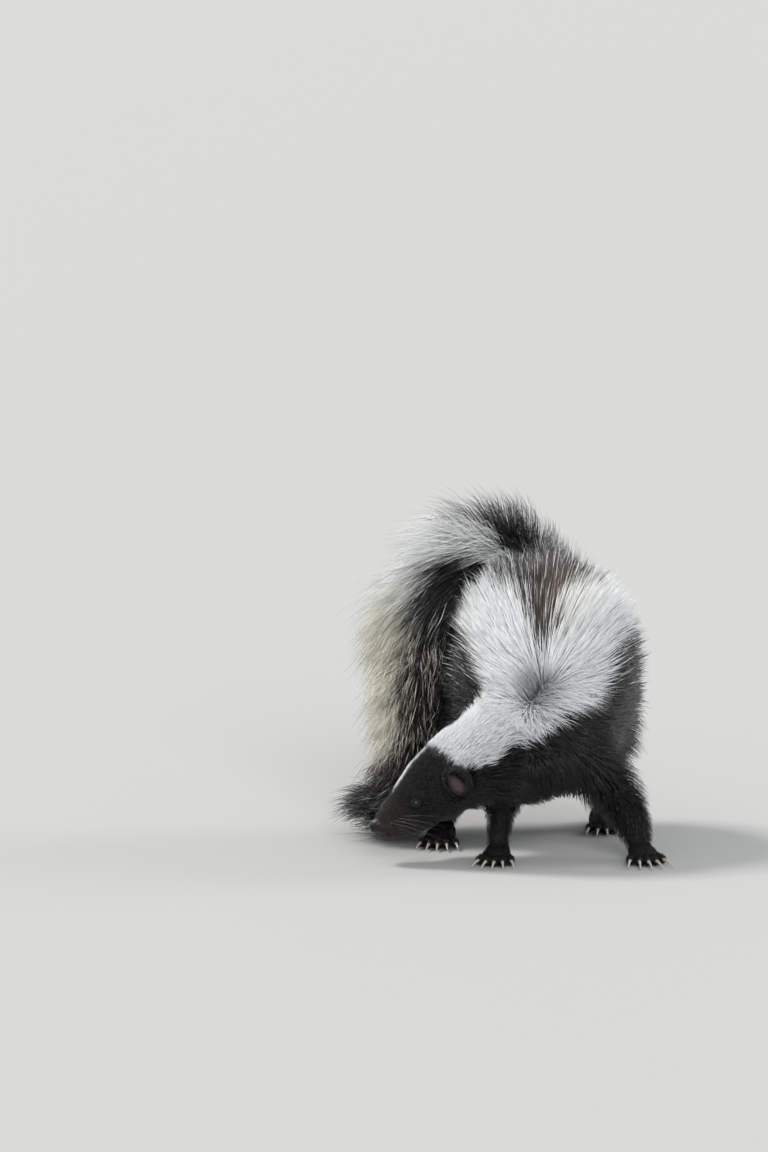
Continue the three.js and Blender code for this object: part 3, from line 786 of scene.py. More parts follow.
class Finish:
    """A material being made, whose nodes all come from one method."""

    def __init__(self, name):
        self.material = bpy.data.materials.new(name)
        self.material.use_nodes = True
        self.tree = self.material.node_tree
        self.shader = self.tree.nodes["Principled BSDF"]

    def node(self, kind, settings, sockets, output=0):
        """A node of a kind, its settings set first, then its sockets from numbers or links."""
        made = self.tree.nodes.new(kind)
        for key, value in settings.items():
            setattr(made, key, value)
        for key, value in sockets.items():
            self.feed(made.inputs[key], value)
        return Value(self, made.outputs[output])

    def feed(self, socket, value):
        """A socket gets a link from another socket, or a plain number or colour."""
        if isinstance(value, Value):
            self.tree.links.new(value.socket, socket)
        elif np.ndim(value) and socket.type == "RGBA":
            socket.default_value = (*value, 1)
        else:
            socket.default_value = value

    def attribute(self, name):
        """A number that the mesh has at each of its points."""
        return self.node("ShaderNodeAttribute", {"attribute_name": name}, {}, "Fac")

    def places(self):
        """Where on the piece a place is, in metres from its origin."""
        return self.node("ShaderNodeTexCoord", {}, {}, "Object")

    def noise(self, scale, detail, roughness=0.5):
        """A soft noise over the piece, with about scale bumps in a metre."""
        sockets = {"Vector": self.places(), "Scale": scale, "Detail": detail, "Roughness": roughness}
        return self.node("ShaderNodeTexNoise", {}, sockets, "Fac")

    def pebbles(self, scale):
        """How far a place is from the middle of its cell, of about scale cells in a metre."""
        sockets = {"Vector": self.places(), "Scale": scale}
        return self.node("ShaderNodeTexVoronoi", {"feature": "F1"}, sockets, "Distance")

    def mix(self, share, first, second, blend="MIX"):
        """A colour that goes from the first to the second as the share goes from 0 to 1."""
        settings = {"data_type": "RGBA", "blend_type": blend, "clamp_factor": True}
        return self.node("ShaderNodeMix", settings, {0: share, 6: first, 7: second}, 2)

    def bump(self, height, distance, strength):
        """The surface's direction, as if it rose by a height of up to a distance in metres."""
        sockets = {"Height": height, "Distance": distance, "Strength": strength}
        return self.node("ShaderNodeBump", {}, sockets)

    def set(self, **sockets):
        """Sockets of the shader, whose names are written with underscores."""
        for key, value in sockets.items():
            self.feed(self.shader.inputs[key.replace("_", " ")], value)
        return self.material


def fur_colour(finish, black, white, settings):
    """The colour of hair along its length: black, which may be frosted at the tip in a silver that is
    partly real and partly painted glint, or white, which is greyer and bluer at the root with painted
    shade, either one warmer where it is warm, and all times its shade: a random tone, with painted
    shade across the parting's crease."""
    along, warm, shade = (finish.attribute(name) for name in ("along", "warm", "shade"))
    dark = finish.mix(warm, settings.black, settings.brown)
    # Black tips mixed towards silver: partly real, partly painted glint
    dark = finish.mix(finish.attribute("frost_and_glint") * along**1.5, dark, settings.silver_tip_and_glint)
    pale = finish.mix(warm, settings.white, settings.cream)
    # White hair is mixed towards a darker, bluer grey at its roots: painted shade
    pale = finish.mix((1 - along) ** 2 * 0.5, pale, settings.white_root_painted_shade)
    colour = dark if black else pale
    if black and white:
        colour = finish.mix(finish.attribute("white"), dark, pale)
    tint = finish.node("ShaderNodeCombineColor", {}, {0: shade, 1: shade, 2: shade})
    return finish.mix(1.0, colour, tint, "MULTIPLY")


def skin_finish(settings):
    """The skin under the coat, with the same markings and a fine lie of short hair as bump, and
    bare skin inside the ears."""
    finish = Finish("skin_and_short_fur")
    strands = finish.noise(900, 4, 0.6)
    bare_skin = finish.mix(strands, settings.bare_skin, (0.05, 0.032, 0.031))
    colour = finish.mix(finish.attribute("bare"), fur_colour(finish, True, True, settings), bare_skin)
    return finish.set(
        Base_Color=colour,
        Roughness=0.5 + strands * 0.2,
        Normal=finish.bump(strands, 0.0006, 0.7),
        Specular_IOR_Level=0.22,
    )


def fur_finish(name, white, settings):
    """The hair of the coat, black or white, with a fine grain along its gloss."""
    finish = Finish(name)
    rough = settings.white_roughness if white else settings.black_roughness
    grain = finish.noise(1400, 2)
    return finish.set(
        Base_Color=fur_colour(finish, not white, white, settings),
        Roughness=rough - 0.06 + grain * 0.12,
        Specular_IOR_Level=0.35 if white else 0.6,
    )


def grainy(name, grain, colours, roughness, specular=0.5, bump=None):
    """A plain material whose colour goes between two with a fine grain, which may also be its
    bump. The grain is the scale and detail of a noise, or the scale alone for small pebbles."""
    finish = Finish(name)
    height = finish.noise(*grain) if len(grain) > 1 else finish.pebbles(*grain)
    finish.set(
        Base_Color=finish.mix(height, *colours),
        Roughness=roughness,
        Specular_IOR_Level=specular,
    )
    if bump:
        finish.set(Normal=finish.bump(height, *bump))
    return finish.material


def grid_faces(rows, columns):
    """Four-sided faces of a grid of points that closes on itself across its columns."""
    row = np.arange(rows - 1)[:, None]
    column = np.arange(columns)[None]
    after = (column + 1) % columns
    a, b = row * columns + column, row * columns + after
    return np.stack([a, a + columns, b + columns, b], -1).reshape(-1, 4)


def closed_ends(points, rows, columns):
    """The three-sided faces of rows of rings, with a fan at each end to the middle of its ring."""
    faces = grid_faces(rows, columns)
    start, end = len(points), len(points) + 1
    points = np.vstack([points, points[:columns].mean(0), points[-columns:].mean(0)])
    column = np.arange(columns)
    after = (column + 1) % columns
    base = (rows - 1) * columns
    near = np.stack([column, after, np.full(columns, start)], 1)
    away = np.stack([base + after, base + column, np.full(columns, end)], 1)
    return points, np.vstack([faces[:, [0, 1, 2]], faces[:, [0, 2, 3]], near, away])


def tube(centres, radii, up, sides):
    """A closed, tapering tube: about each centre a ring, radius (cos turn side + sin turn above)."""
    along = unit(np.gradient(centres, axis=0))
    side = unit(np.cross(along, up))
    above = np.cross(side, along)
    turn = np.linspace(0, 2 * math.pi, sides, endpoint=False)[None, :, None]
    ring = np.cos(turn) * side[:, None] + np.sin(turn) * above[:, None]
    points = centres[:, None] + ring * radii[:, None, None]
    return closed_ends(points.reshape(-1, 3), len(centres), sides)


def together(tubes):
    """The points and faces of several tubes as those of one piece."""
    starts = np.cumsum([0] + [len(points) for points, _ in tubes])
    faces = [own + start for (_, own), start in zip(tubes, starts)]
    return np.vstack([points for points, _ in tubes]), np.vstack(faces)


# Regions of the coat: the parts each covers, and from where to where along their length
REGIONS = {
    "shoulders": ("trunk", 0.0, 0.3),
    "ribs": ("trunk", 0.3, 0.5),
    "loins": ("trunk", 0.5, 0.7),
    "rump": ("trunk", 0.7, 1.01),
    "neck": ("neck", 0, 1.01),
    "tail_root": ("tail", 0, 0.25),
    "tail_arch": ("tail", 0.25, 0.5),
    "tail_fall": ("tail", 0.5, 0.76),
    "tail_tip": ("tail", 0.76, 1.01),
    "forelegs": ("foreleg", 0, 1.01),
    "hindlegs": ("hindleg", 0, 1.01),
    "feet": ("foot", 0, 1.01),
    "head": ("head", 0, 1.01),
    "ears": ("ears", 0, 1.01),
}

# Hair of each part: tufts on each square millimetre of skin, half width of a tuft in
# millimetres, how loosely it lies, how straight it is rather than bent to the body, how far it
# gathers into clumps, and how many lengths it is bent into
HAIR = {
    "trunk": dict(count=0.92, half=0.27, loose=0.05, stiff=0.1, gather=0.36, lengths=3),
    "neck": dict(count=1.0, half=0.26, loose=0.05, stiff=0.15, gather=0.3, lengths=3),
    "tail": dict(count=1.9, half=0.25, loose=0.1, stiff=0.5, gather=0.35, lengths=3),
    "foreleg": dict(count=0.62, half=0.26, loose=0.06, stiff=0.1, gather=0.3, lengths=3),
    "hindleg": dict(count=0.62, half=0.28, loose=0.06, stiff=0.1, gather=0.35, lengths=3),
    "foot": dict(count=1.8, half=0.14, loose=0.04, stiff=0.0, gather=0.0, lengths=2),
    "head": dict(count=2.3, half=0.15, loose=0.04, stiff=0.0, gather=0.2, lengths=2),
    "ears": dict(count=1.8, half=0.13, loose=0.08, stiff=0.3, gather=0.0, lengths=2),
}

# How much hair the belly has beside the rest, and white and black hair beside the mean
UNDERSIDE_SHARE = 0.5
MARK_SHARES = (1.25, 0.79)

# The share of the hair that is short underfur. For it and for the long hair, the least length as
# a share of the coat's depth and how far it varies, and the same for the reach along the lie.
UNDERFUR = 0.3
UNDERFUR_LENGTH, LONG_LENGTH, REACH = (0.45, 0.4), (0.86, 0.18), (0.85, 0.3)

# Shares of a hair's length at which it bends, how much it rises early and how much it leans
# late, how far it keeps the lie that it has at its root, how deep it is rooted in the skin, and
# how far and how fast it is brought back to its height over the skin
SHARES = (0.34, 0.68, 1.0)
RISE_POWER, LEAN_POWER = 1.7, 1.25
KEPT_LIE = 0.8
ROOT_DEPTH = 0.8 * MM
MOST_MISS, BROUGHT_BACK = 10 * MM, 0.75

# Over the floor: the height at which a hair starts to bend, as a share of the coat's depth with
# its least and most, and the least height of all
FLOOR_BEND = dict(share=0.25, least=0.6 * MM, most=7 * MM)
LEAST_HEIGHT = 0.4 * MM

# The sizes and the strengths of the slow and the fine sway of the hair, which all have in common
SWAY, FINE_SWAY = (24 * MM, 1.4), (7 * MM, 1.2)

# Tufts: their width at each bend, and the corners of their section, aside and above
TUFT_WIDTHS = {3: [1.0, 0.95, 0.6, 0.0], 2: [1.0, 0.8, 0.0]}
TUFT_CORNERS = np.array([[0, 0.55], [1, -0.28], [-1, -0.28]])

# Hair deeper than this gathers into clumps. In a clump the tips keep a share of their roots'
# distance from its middle, and each bend moves by its own share of what the tip moves.
LONG_HAIR = 4 * MM
CLUMP_SPREAD = 0.35
CLUMP_BENDS = ((1, 0.12), (2, 0.45), (3, 1.0))

# A region with fewer tufts of a colour than this has no piece of that colour
LEAST_TUFTS = 12

# Where each part lies on the unwrap that the coat's patches are set on: the lower corner and
# the size of its rectangle, across which the angle round it and its length are laid out. The
# last is how wide a tuft's own patch is.
UNWRAP = {
    "trunk": (0.01, 0.01, 0.48, 0.56),
    "neck": (0.51, 0.01, 0.30, 0.16),
    "head": (0.51, 0.19, 0.30, 0.30),
    "tail": (0.01, 0.60, 0.48, 0.38),
    "ears": (0.83, 0.01, 0.15, 0.10),
}
for column, (leg, paw) in enumerate(zip(LEGS, PAWS)):
    UNWRAP[leg] = (0.51 + 0.12 * column, 0.52, 0.11, 0.22)
    UNWRAP[paw] = (0.51 + 0.12 * column, 0.77, 0.11, 0.20)
PATCH = 0.003


def unwrapped(found):
    """Each root's place on the unwrap: the angle across and the length up its part's rectangle."""
    place = np.empty((len(found["t"]), 2))
    for name, (left, low, wide, high) in UNWRAP.items():
        mine = found["part"] == PART[name]
        place[mine, 0] = left + wide * (found["around"][mine] / (2 * math.pi) + 0.5)
        place[mine, 1] = low + high * found["t"][mine]
    return place


def hair_table(part, key):
    """One number of HAIR for each root, from the first kind that its part's name has in it."""
    own = [next(row[key] for kind, row in HAIR.items() if kind in name) for name in PARTS]
    return np.array(own)[part]


def bare(points, found):
    """Where no hair grows: the nose, the eyes, the lips, inside the ears and under the soles."""
    places = on_head(points)
    hidden = (found["part"] == PART["head"]) & (places[:, 1] < 3.5)
    for side in (1, -1):
        eye = mirrored(np.add(EYE["at"], (1.5, -0.5, 0.3)), side)
        hidden |= np.linalg.norm((places - eye) / (1, 1, 0.75), axis=1) < EYE["radius"] + 0.4
    hidden |= ear_bare(places) > 0.5
    lips = (np.abs(places[:, 2] - lip_height(places)) < 0.8) & (places[:, 1] < MOUTH["corner"])
    return hidden | ((found["part"] == PART["head"]) & lips) | (points[:, 2] < 1.5 * MM)


def sow(points, faces, random):
    """Roots of the tufts: random places on the skin's faces, as thick as each part's hair."""
    corners = points[faces]
    across, along = corners[:, 2] - corners[:, 0], corners[:, 3] - corners[:, 1]
    normal = np.cross(across, along)
    area = np.linalg.norm(normal, axis=1) / 2 / MM**2
    middle = corners.mean(1)
    found = survey(middle)
    below = np.isin(found["part"], [PART["trunk"], PART["neck"]]) & (unit(normal)[:, 2] < -0.5)
    wanted = area * hair_table(found["part"], "count") * found["dense"]
    wanted *= np.where(below, UNDERSIDE_SHARE, 1) * ~bare(middle, found)
    wanted *= np.where(marking(found, middle)[0] > 0.5, *MARK_SHARES)
    number = np.floor(wanted + random.random(len(wanted))).astype(int)
    face = np.repeat(np.arange(len(faces)), number)
    u, v = random.random((2, len(face), 1))
    a, b, c, d = (corners[face, corner] for corner in range(4))
    return (a * (1 - u) + b * u) * (1 - v) + (d * (1 - u) + c * u) * v


# The ends of the parting at the withers, from which the coat lies away on all sides, how far
# that reaches, how wide and how dark the painted shade in its crease is, and how wide and how much
# shorter its hair
PARTING = placed([[-3, 44, 110], [6, 57, 117]])
PARTING_REACH = 30 * MM
PARTING_PAINTED_SHADE = (4.5 * MM, 0.62)
PARTING_SHORT = (6 * MM, 0.5)


def from_parting(points):
    """The way from the nearest place on the parting to each point."""
    line = PARTING[1] - PARTING[0]
    along = np.clip((points - PARTING[0]) @ line / (line @ line), 0, 1)
    return points - PARTING[0] - along[:, None] * line


def across_parting(points, width, height):
    """A bell of a width and height over the distance from the parting."""
    return height * bell(np.linalg.norm(from_parting(points), axis=1), width)


def painted_parting_shade(points):
    """Painted shade on the hair and the skin: 1, less a bell across the crease of the parting."""
    return 1 - across_parting(points, *PARTING_PAINTED_SHADE)


def lying(found, slope, roots):
    """The lie of the coat in the skin's own plane, turned away from the parting at the withers."""
    lie = unit(found["lie"])
    away = from_parting(roots)
    near = bell(np.linalg.norm(away, axis=1), PARTING_REACH)[:, None]
    lie = lie * (1 - near) + unit(away) * near
    return unit(lie - slope * dot(lie, slope)[:, None])


def risen(share):
    """How much of its height a hair has at a share of its length."""
    return 1 - (1 - share) ** RISE_POWER


def rested(height, low):
    """Heights that would pass under the floor, bent smoothly to stay over it.

    Below low, a height h becomes low e^((h - low) / low), which has the same slope there.
    """
    bent = np.maximum(low * np.exp(np.minimum(height / low - 1, 0)), LEAST_HEIGHT)
    return np.where(height < low, bent, height)


def comb(roots, random):
    """The lines of the tufts: from each root out through the coat's depth and along its lie.

    At share s of its length a hair is at 1 - (1 - s)^1.7 of its height over the skin and has
    gone s^1.25 of its reach along the lie. A soft hair's line follows the lie and the skin as it
    goes; a stiff one's keeps the lie and the slope that it has at its root.
    """
    found = survey(roots)
    slope = unit(steepest(roots, found["value"]))
    part, count = found["part"], len(roots)
    under = random.random(count) < UNDERFUR
    full = np.where(under, varied(random, count, *UNDERFUR_LENGTH), varied(random, count, *LONG_LENGTH))
    depth = found["depth"] * full
    reach = depth * found["lean"] * varied(random, count, *REACH)
    reach *= 1 - across_parting(roots, *PARTING_SHORT)
    loose, stiff = hair_table(part, "loose")[:, None], hair_table(part, "stiff")[:, None]
    sway, fine = Lattice(11, 3).at(roots, SWAY[0]), Lattice(13, 3).at(roots, FINE_SWAY[0])
    own = np.clip(random.normal(0, 1, sway.shape), -2, 2)
    drift = (SWAY[1] * sway + FINE_SWAY[1] * fine + own) * loose
    first_lie = lying(found, slope, roots)
    lines = [roots - slope * ROOT_DEPTH]
    here, here_found, here_slope, before = roots, found, slope, 0.0
    for share in SHARES:
        step = reach * (share**LEAN_POWER - before**LEAN_POWER)
        rise = depth * (risen(share) - risen(before))
        lie = unit(lying(here_found, here_slope, roots) + KEPT_LIE * first_lie)
        here = here + lie * step[:, None] + here_slope * rise[:, None]
        here_found = survey(here)
        here_slope = unit(steepest(here, here_found["value"]))
        miss = np.clip(depth * risen(share) - here_found["value"], -MOST_MISS, MOST_MISS)
        here = here + here_slope * (BROUGHT_BACK * miss)[:, None]
        straight = roots + first_lie * (reach * share**LEAN_POWER)[:, None]
        straight = straight + slope * (depth * risen(share))[:, None]
        line = here + (straight - here) * stiff + drift * (share * (reach + depth))[:, None]
        low = np.clip(FLOOR_BEND["share"] * depth, FLOOR_BEND["least"], FLOOR_BEND["most"])
        line[:, 2] = rested(line[:, 2], low)
        lines.append(line)
        before = share
    return found, np.stack(lines, 1), slope


def clump(lines, random, size, pull):
    """Tufts whose roots share a cell of about a size lean together, towards the middle of their
    tips, by their pull."""
    drift = Lattice(17, 3).at(lines[:, 0], 15 * MM) * 0.5
    cell = np.floor(lines[:, 0] / size + drift).astype(np.int64)
    _, group = np.unique(cell @ np.array([1, 4099, 16785407]), return_inverse=True)
    group = group.ravel()
    members = np.bincount(group)[:, None]

    def middle(places):
        return np.stack([np.bincount(group, own) for own in places.T], 1) / members

    root_middle, tip_middle = middle(lines[:, 0]), middle(lines[:, 3])
    gathered = tip_middle[group] + CLUMP_SPREAD * (lines[:, 0] - root_middle[group])
    strength = pull * varied(random, len(lines), 0.3, 0.7)
    for station, share in CLUMP_BENDS:
        lines[:, station] += (gathered - lines[:, 3]) * (strength * share)[:, None]
    lines[:, 1:, 2] = np.maximum(lines[:, 1:, 2], LEAST_HEIGHT)
    return lines


def tufts(name, lines, slope, half, lengths, patches, attributes):
    """Closed, tapering tufts of three sides as one mesh, each with its own patch on OFBake.

    A tuft has a flat triangle at its root and at each bend, with the ridge outwards, and ends
    in a point.
    """
    if lengths == 2:
        lines = lines[:, [0, 2, 3]]
    count, stations = lines.shape[0], lines.shape[1]
    along = unit(np.gradient(lines, axis=1))
    side = unit(np.cross(along, slope[:, None]))
    above = np.cross(side, along)
    width = np.array(TUFT_WIDTHS[lengths])
    out, over = TUFT_CORNERS[:, 0, None], TUFT_CORNERS[:, 1, None]
    ring = out * side[:, :, None] + over * above[:, :, None]
    ring = lines[:, :, None] + ring * (half[:, None] * width)[:, :, None, None]
    body = ring[:, : stations - 1].reshape(count, -1, 3)
    points = np.concatenate([body, lines[:, -1:]], 1)
    each = points.shape[1]
    faces = [[0, 2, 1]]
    for row in range(stations - 2):
        for corner in range(3):
            a, b = 3 * row + corner, 3 * row + (corner + 1) % 3
            faces += [[a, b, b + 3], [a, b + 3, a + 3]]
    top = 3 * (stations - 2)
    faces += [[top + corner, top + (corner + 1) % 3, each - 1] for corner in range(3)]
    faces = np.array(faces)
    everything = (np.arange(count)[:, None, None] * each + faces).reshape(-1, 3)
    share = np.append(np.repeat(np.linspace(0, 1, stations)[:-1], 3), 1)
    spread = {key: np.repeat(values, each) for key, values in attributes.items()}
    spread["along"] = np.tile(share, count)
    piece = make_mesh(name, points.reshape(-1, 3), everything, spread)
    across = np.append(np.tile([0.5, 1.0, 0.0], stations - 1), 0.5)
    inside = np.stack([across, share], 1) * PATCH - PATCH / 2
    layer = piece.data.uv_layers.new(name="OFBake")
    uv = patches[:, None, None] + inside[faces][None]
    layer.data.foreach_set("uv", np.ascontiguousarray(uv, np.float32).ravel())
    return piece


def region_of(found):
    """The number of the coat's region that each root is in."""
    region = np.full(len(found["t"]), -1)
    for number, (kind, low, high) in enumerate(REGIONS.values()):
        parts = [PART[name] for name in PARTS if kind in name]
        mine = np.isin(found["part"], parts) & (found["t"] >= low) & (found["t"] < high)
        region[mine & (region < 0)] = number
    return region


# Two kinds of property: a colour, and a share from 0 to 1
Colour = partial(FloatVectorProperty, subtype="COLOR", size=3)
Share = partial(FloatProperty, min=0, max=1)


class SkunkFinishes(bpy.types.PropertyGroup):
    """Colours and gloss of the skunk's coat and fine parts."""

    black: Colour(name="Black", description="Black hair", default=(0.012, 0.011, 0.012))
    brown: Colour(name="Brown", description="Warm black hair", default=(0.095, 0.057, 0.034))
    white: Colour(name="White", description="White hair", default=(0.9, 0.905, 0.91))
    # Silver of the frosted black tips: partly real, partly painted glint
    silver_tip_and_glint: Colour(name="Silver", description="Frosted tips of black hair", default=(0.6, 0.6, 0.62))
    bare_skin: Colour(name="Bare skin", description="Skin inside the ears", default=(0.085, 0.052, 0.05))
    # Darker, bluer grey for the roots of white hair: painted shade
    white_root_painted_shade: Colour(name="White root", description="Roots of white hair", default=(0.66, 0.69, 0.74))
    cream: Colour(name="Cream", description="Warm white hair on the tail", default=(0.84, 0.80, 0.66))
    horn: Colour(name="Horn", description="Claws", default=(0.58, 0.53, 0.46))
    black_roughness: Share(name="Black roughness", description="Roughness of black hair", default=0.3)
    white_roughness: Share(name="White roughness", description="Roughness of white hair", default=0.55)


class SkunkSizes(bpy.types.PropertyGroup):
    """Sizes of the skunk's coat and whiskers."""

    clump_size: FloatProperty(
        name="Clump", description="Width of the hair's clumps",
        unit="LENGTH", default=5 * MM, min=MM, max=0.03,
    )
    clump_pull: FloatProperty(
        name="Clump pull", description="How far tufts lean together", default=1, min=0, max=2,
    )
    whisker_length: FloatProperty(
        name="Whiskers", description="Length of the longest whiskers",
        unit="LENGTH", default=34 * MM, min=0.01, max=0.08,
    )


class SKUNK_OT_skin(bpy.types.Operator):
    """Make the skin of the whole body, under the coat"""

    bl_idname = "skunk.skin"
    bl_label = "Skin"

    def execute(self, context):
        low, high = np.array(solids_box)
        points, faces = level_surface(body_distance, low - 3 * MM, high + 3 * MM, SKIN_STEP)
        for _ in range(2):
            value = body_distance(points)
            slope = steepest(points, value)
            shift = np.clip(value / np.maximum((slope**2).sum(1), 0.25), -MM, MM)
            points = points - slope * shift[:, None]
        found = survey(points)
        white, warm, frost_and_glint = marking(found, points)
        attributes = dict(white=white, warm=warm, frost_and_glint=0.3 * frost_and_glint, bare=ear_bare(on_head(points)))
        # Painted shade across the parting's crease darkens the skin; the skin under black hair is a darker
        # tone
        shade = painted_parting_shade(points) * np.where(white > 0.5, 1, 0.6)
        attributes.update(shade=shade, along=np.full(len(points), 0.3))
        piece = make_mesh("skin", points, faces, attributes)
        flesh = [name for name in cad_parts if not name.startswith(("eye", "nose"))]
        dress(piece, skin_finish(context.scene.skunk_finishes), "coat", *flesh)
        return {"FINISHED"}


class SKUNK_OT_coat(bpy.types.Operator):
    """Grow the coat over the skin, in one black and one white piece for each region"""

    bl_idname = "skunk.coat"
    bl_label = "Coat"

    def execute(self, context):
        sizes, finishes = context.scene.skunk_sizes, context.scene.skunk_finishes
        skin = bpy.data.objects["skin"].data
        points = np.empty(len(skin.vertices) * 3)
        skin.vertices.foreach_get("co", points)
        faces = np.empty(len(skin.loops), int)
        skin.loops.foreach_get("vertex_index", faces)
        random = np.random.default_rng(SEED)
        roots = sow(points.reshape(-1, 3), faces.reshape(-1, 4), random)
        found, lines, slope = comb(roots, random)
        part, count = found["part"], len(roots)
        long_hair = found["depth"] > LONG_HAIR
        pull = sizes.clump_pull * hair_table(part, "gather")
        lines[long_hair] = clump(lines[long_hair], random, sizes.clump_size, pull[long_hair])
        white, warm, frost_and_glint = marking(found, roots)
        pale = white > varied(random, count, 0.1, 0.8)
        tail = part == PART["tail"]
        warm = np.where(pale == tail, warm, warm * np.where(tail, 0.12, np.where(pale, 0.35, 1)))
        # Silver tips on some black tufts: partly real, partly painted glints
        frost_and_glint = 0.9 * (random.random(count) < 0.5 * frost_and_glint)
        shade = np.clip(1 + 0.25 * random.normal(0, 1, count), 0.45, 1.6)
        # The tufts get painted shade across the parting's crease
        shade = np.where(pale, np.clip(0.94 + 0.1 * (shade - 1), 0.8, 1), shade) * painted_parting_shade(roots)
        half = hair_table(part, "half") * MM * varied(random, count, 0.7, 0.6)
        patches, region = unwrapped(found), region_of(found)
        finish = [fur_finish("black_fur", False, finishes), fur_finish("white_fur", True, finishes)]
        for number, (name, (kind, _, _)) in enumerate(REGIONS.items()):
            for is_pale, colour, slot in ((False, "black", "coat"), (True, "white", "stripe")):
                mine = (region == number) & (pale == is_pale)
                if mine.sum() < LEAST_TUFTS:
                    continue
                attributes = dict(warm=warm[mine], shade=shade[mine], frost_and_glint=frost_and_glint[mine])
                piece = tufts(
                    f"{colour}_coat_{name}", lines[mine], slope[mine], half[mine],
                    HAIR[kind]["lengths"], patches[mine], attributes,
                )
                dress(piece, finish[is_pale], slot)
        return {"FINISHED"}


def head_mesh(name, places, faces):
    """A mesh from places in the head's own frame, in millimetres."""
    return make_mesh(name, placed(places @ HEAD_AXES.T + np.array(NOSE_TIP)), faces)


def ball_grid(rows, columns):
    """Directions over a ball as a grid: the angle down from the pole, then the angle round it."""
    down = np.linspace(0.02, math.pi - 0.02, rows)[:, None]
    turn = np.linspace(0, 2 * math.pi, columns, endpoint=False)[None]
    flat = np.broadcast_to(np.cos(down), (rows, columns))
    grid = np.stack([np.sin(down) * np.cos(turn), np.sin(down) * np.sin(turn), flat], -1)
    return grid.reshape(-1, 3)


class SKUNK_OT_eyes(bpy.types.Operator):
    """Make the two eyes and the lids round them"""

    bl_idname = "skunk.eyes"
    bl_label = "Eyes"

    def execute(self, context):
        wet = grainy("wet_dark_eye", (900, 2), ((0.002, 0.0015, 0.001), (0.005, 0.003, 0.002)), 0.06, 0.35)
        lid_colours = ((0.007, 0.005, 0.005), (0.018, 0.014, 0.013))
        lid_skin = grainy("eyelid", (1600, 3), lid_colours, 0.55, 0.2, (0.0002, 0.6))
        rows, columns = 24, 36
        grid = ball_grid(rows, columns)
        for name, side in (("left", 1), ("right", -1)):
            centre = mirrored(EYE["at"], side)
            outward = unit(mirrored((1, -0.5, 0.22), side))
            bulge = 1 + 0.07 * bell(np.degrees(np.arccos(np.clip(grid @ outward, -1, 1))), 34)
            ball = centre + EYE["radius"] * grid * bulge[:, None]
            eye = head_mesh(f"eye_ball_{name}", *closed_ends(ball, rows, columns))
            dress(eye, wet, "eye", f"eye_{name}")
            dress(self.lids(name, centre, outward), lid_skin, "leather")
        return {"FINISHED"}

    def lids(self, name, centre, outward):
        """A ring round the eye, from inside the opening over a rounded rim down to the skin.

        The opening is an oval with corners pulled out; across the ring the surface rises over
        half a turn of a sine and then falls below the skin. A hidden underside closes it.
        """
        rows, columns = 9, 48
        width, fall, lip = 2.8, 2.8, 0.3
        turn = np.linspace(0, 2 * math.pi, columns, endpoint=False)[:, None]
        across = np.linspace(0, 1, rows)[:, None, None]
        ahead = unit(np.cross(UP, outward))
        over = np.cross(outward, ahead)
        wide = 2.5 + 0.8 * np.abs(np.cos(turn)) ** 6
        high = np.where(np.sin(turn) > 0, 1.75, 1.5)
        rim = np.cos(turn) * wide * ahead + np.sin(turn) * high * over
        rise = np.sqrt(np.maximum((EYE["radius"] + 0.25) ** 2 - (rim**2).sum(1), 1))[:, None]
        lift = lip * np.sin(math.pi * np.minimum(across * 1.6, 1)) - fall * across**1.3
        ring = centre + rim + unit(rim) * (width * across) + outward * (rise + lift)
        tucked = centre + rim[None] * 0.85 + outward * (rise - 1.0)
        points = np.concatenate([tucked, ring]).reshape(-1, 3)
        underside = (grid_faces(2, columns) + rows * columns) % len(points)
        return head_mesh(f"eyelids_{name}", points, np.vstack([grid_faces(rows + 1, columns), underside]))


class SKUNK_OT_nose(bpy.types.Operator):
    """Make the bare leather of the nose, with its nostrils"""

    bl_idname = "skunk.nose"
    bl_label = "Nose"

    def execute(self, context):
        """The pad is an oval ball, a little boxy, pressed in by e^(-r^4) at each nostril and its
        slit, and by a bell down the middle."""
        rows, columns = 48, 64
        grid = ball_grid(rows, columns) @ turned(90, "X").T
        points = np.array([0, 3.4, 0.5]) + np.sign(grid) * np.abs(grid) ** 0.88 * (6.6, 6.4, 5.2)
        front = np.clip(-grid[:, 1], 0, 1)
        for side in (1, -1):
            hole = np.linalg.norm((points - mirrored((2.9, -1.8, 0.7), side)) / (1.35, 3.0, 1.5), axis=1)
            slit = np.linalg.norm((points - mirrored((5.3, 0.6, 0.1), side)) / (1.9, 2.6, 0.6), axis=1)
            points[:, 1] += 3.2 * np.exp(-(hole**4)) * front
            points[:, 0] -= side * 1.5 * np.exp(-(slit**4))
        points[:, 1] += 0.9 * bell(points[:, 0], 0.5) * front * (points[:, 2] < 0.5)
        colours = ((0.006, 0.0045, 0.0045), (0.016, 0.012, 0.0115))
        leather = grainy("nose_leather", (1500,), colours, 0.46, 0.35, (0.0002, 0.35))
        dress(head_mesh("nose_pad", *closed_ends(points, rows, columns)), leather, "leather", "nose")
        return {"FINISHED"}


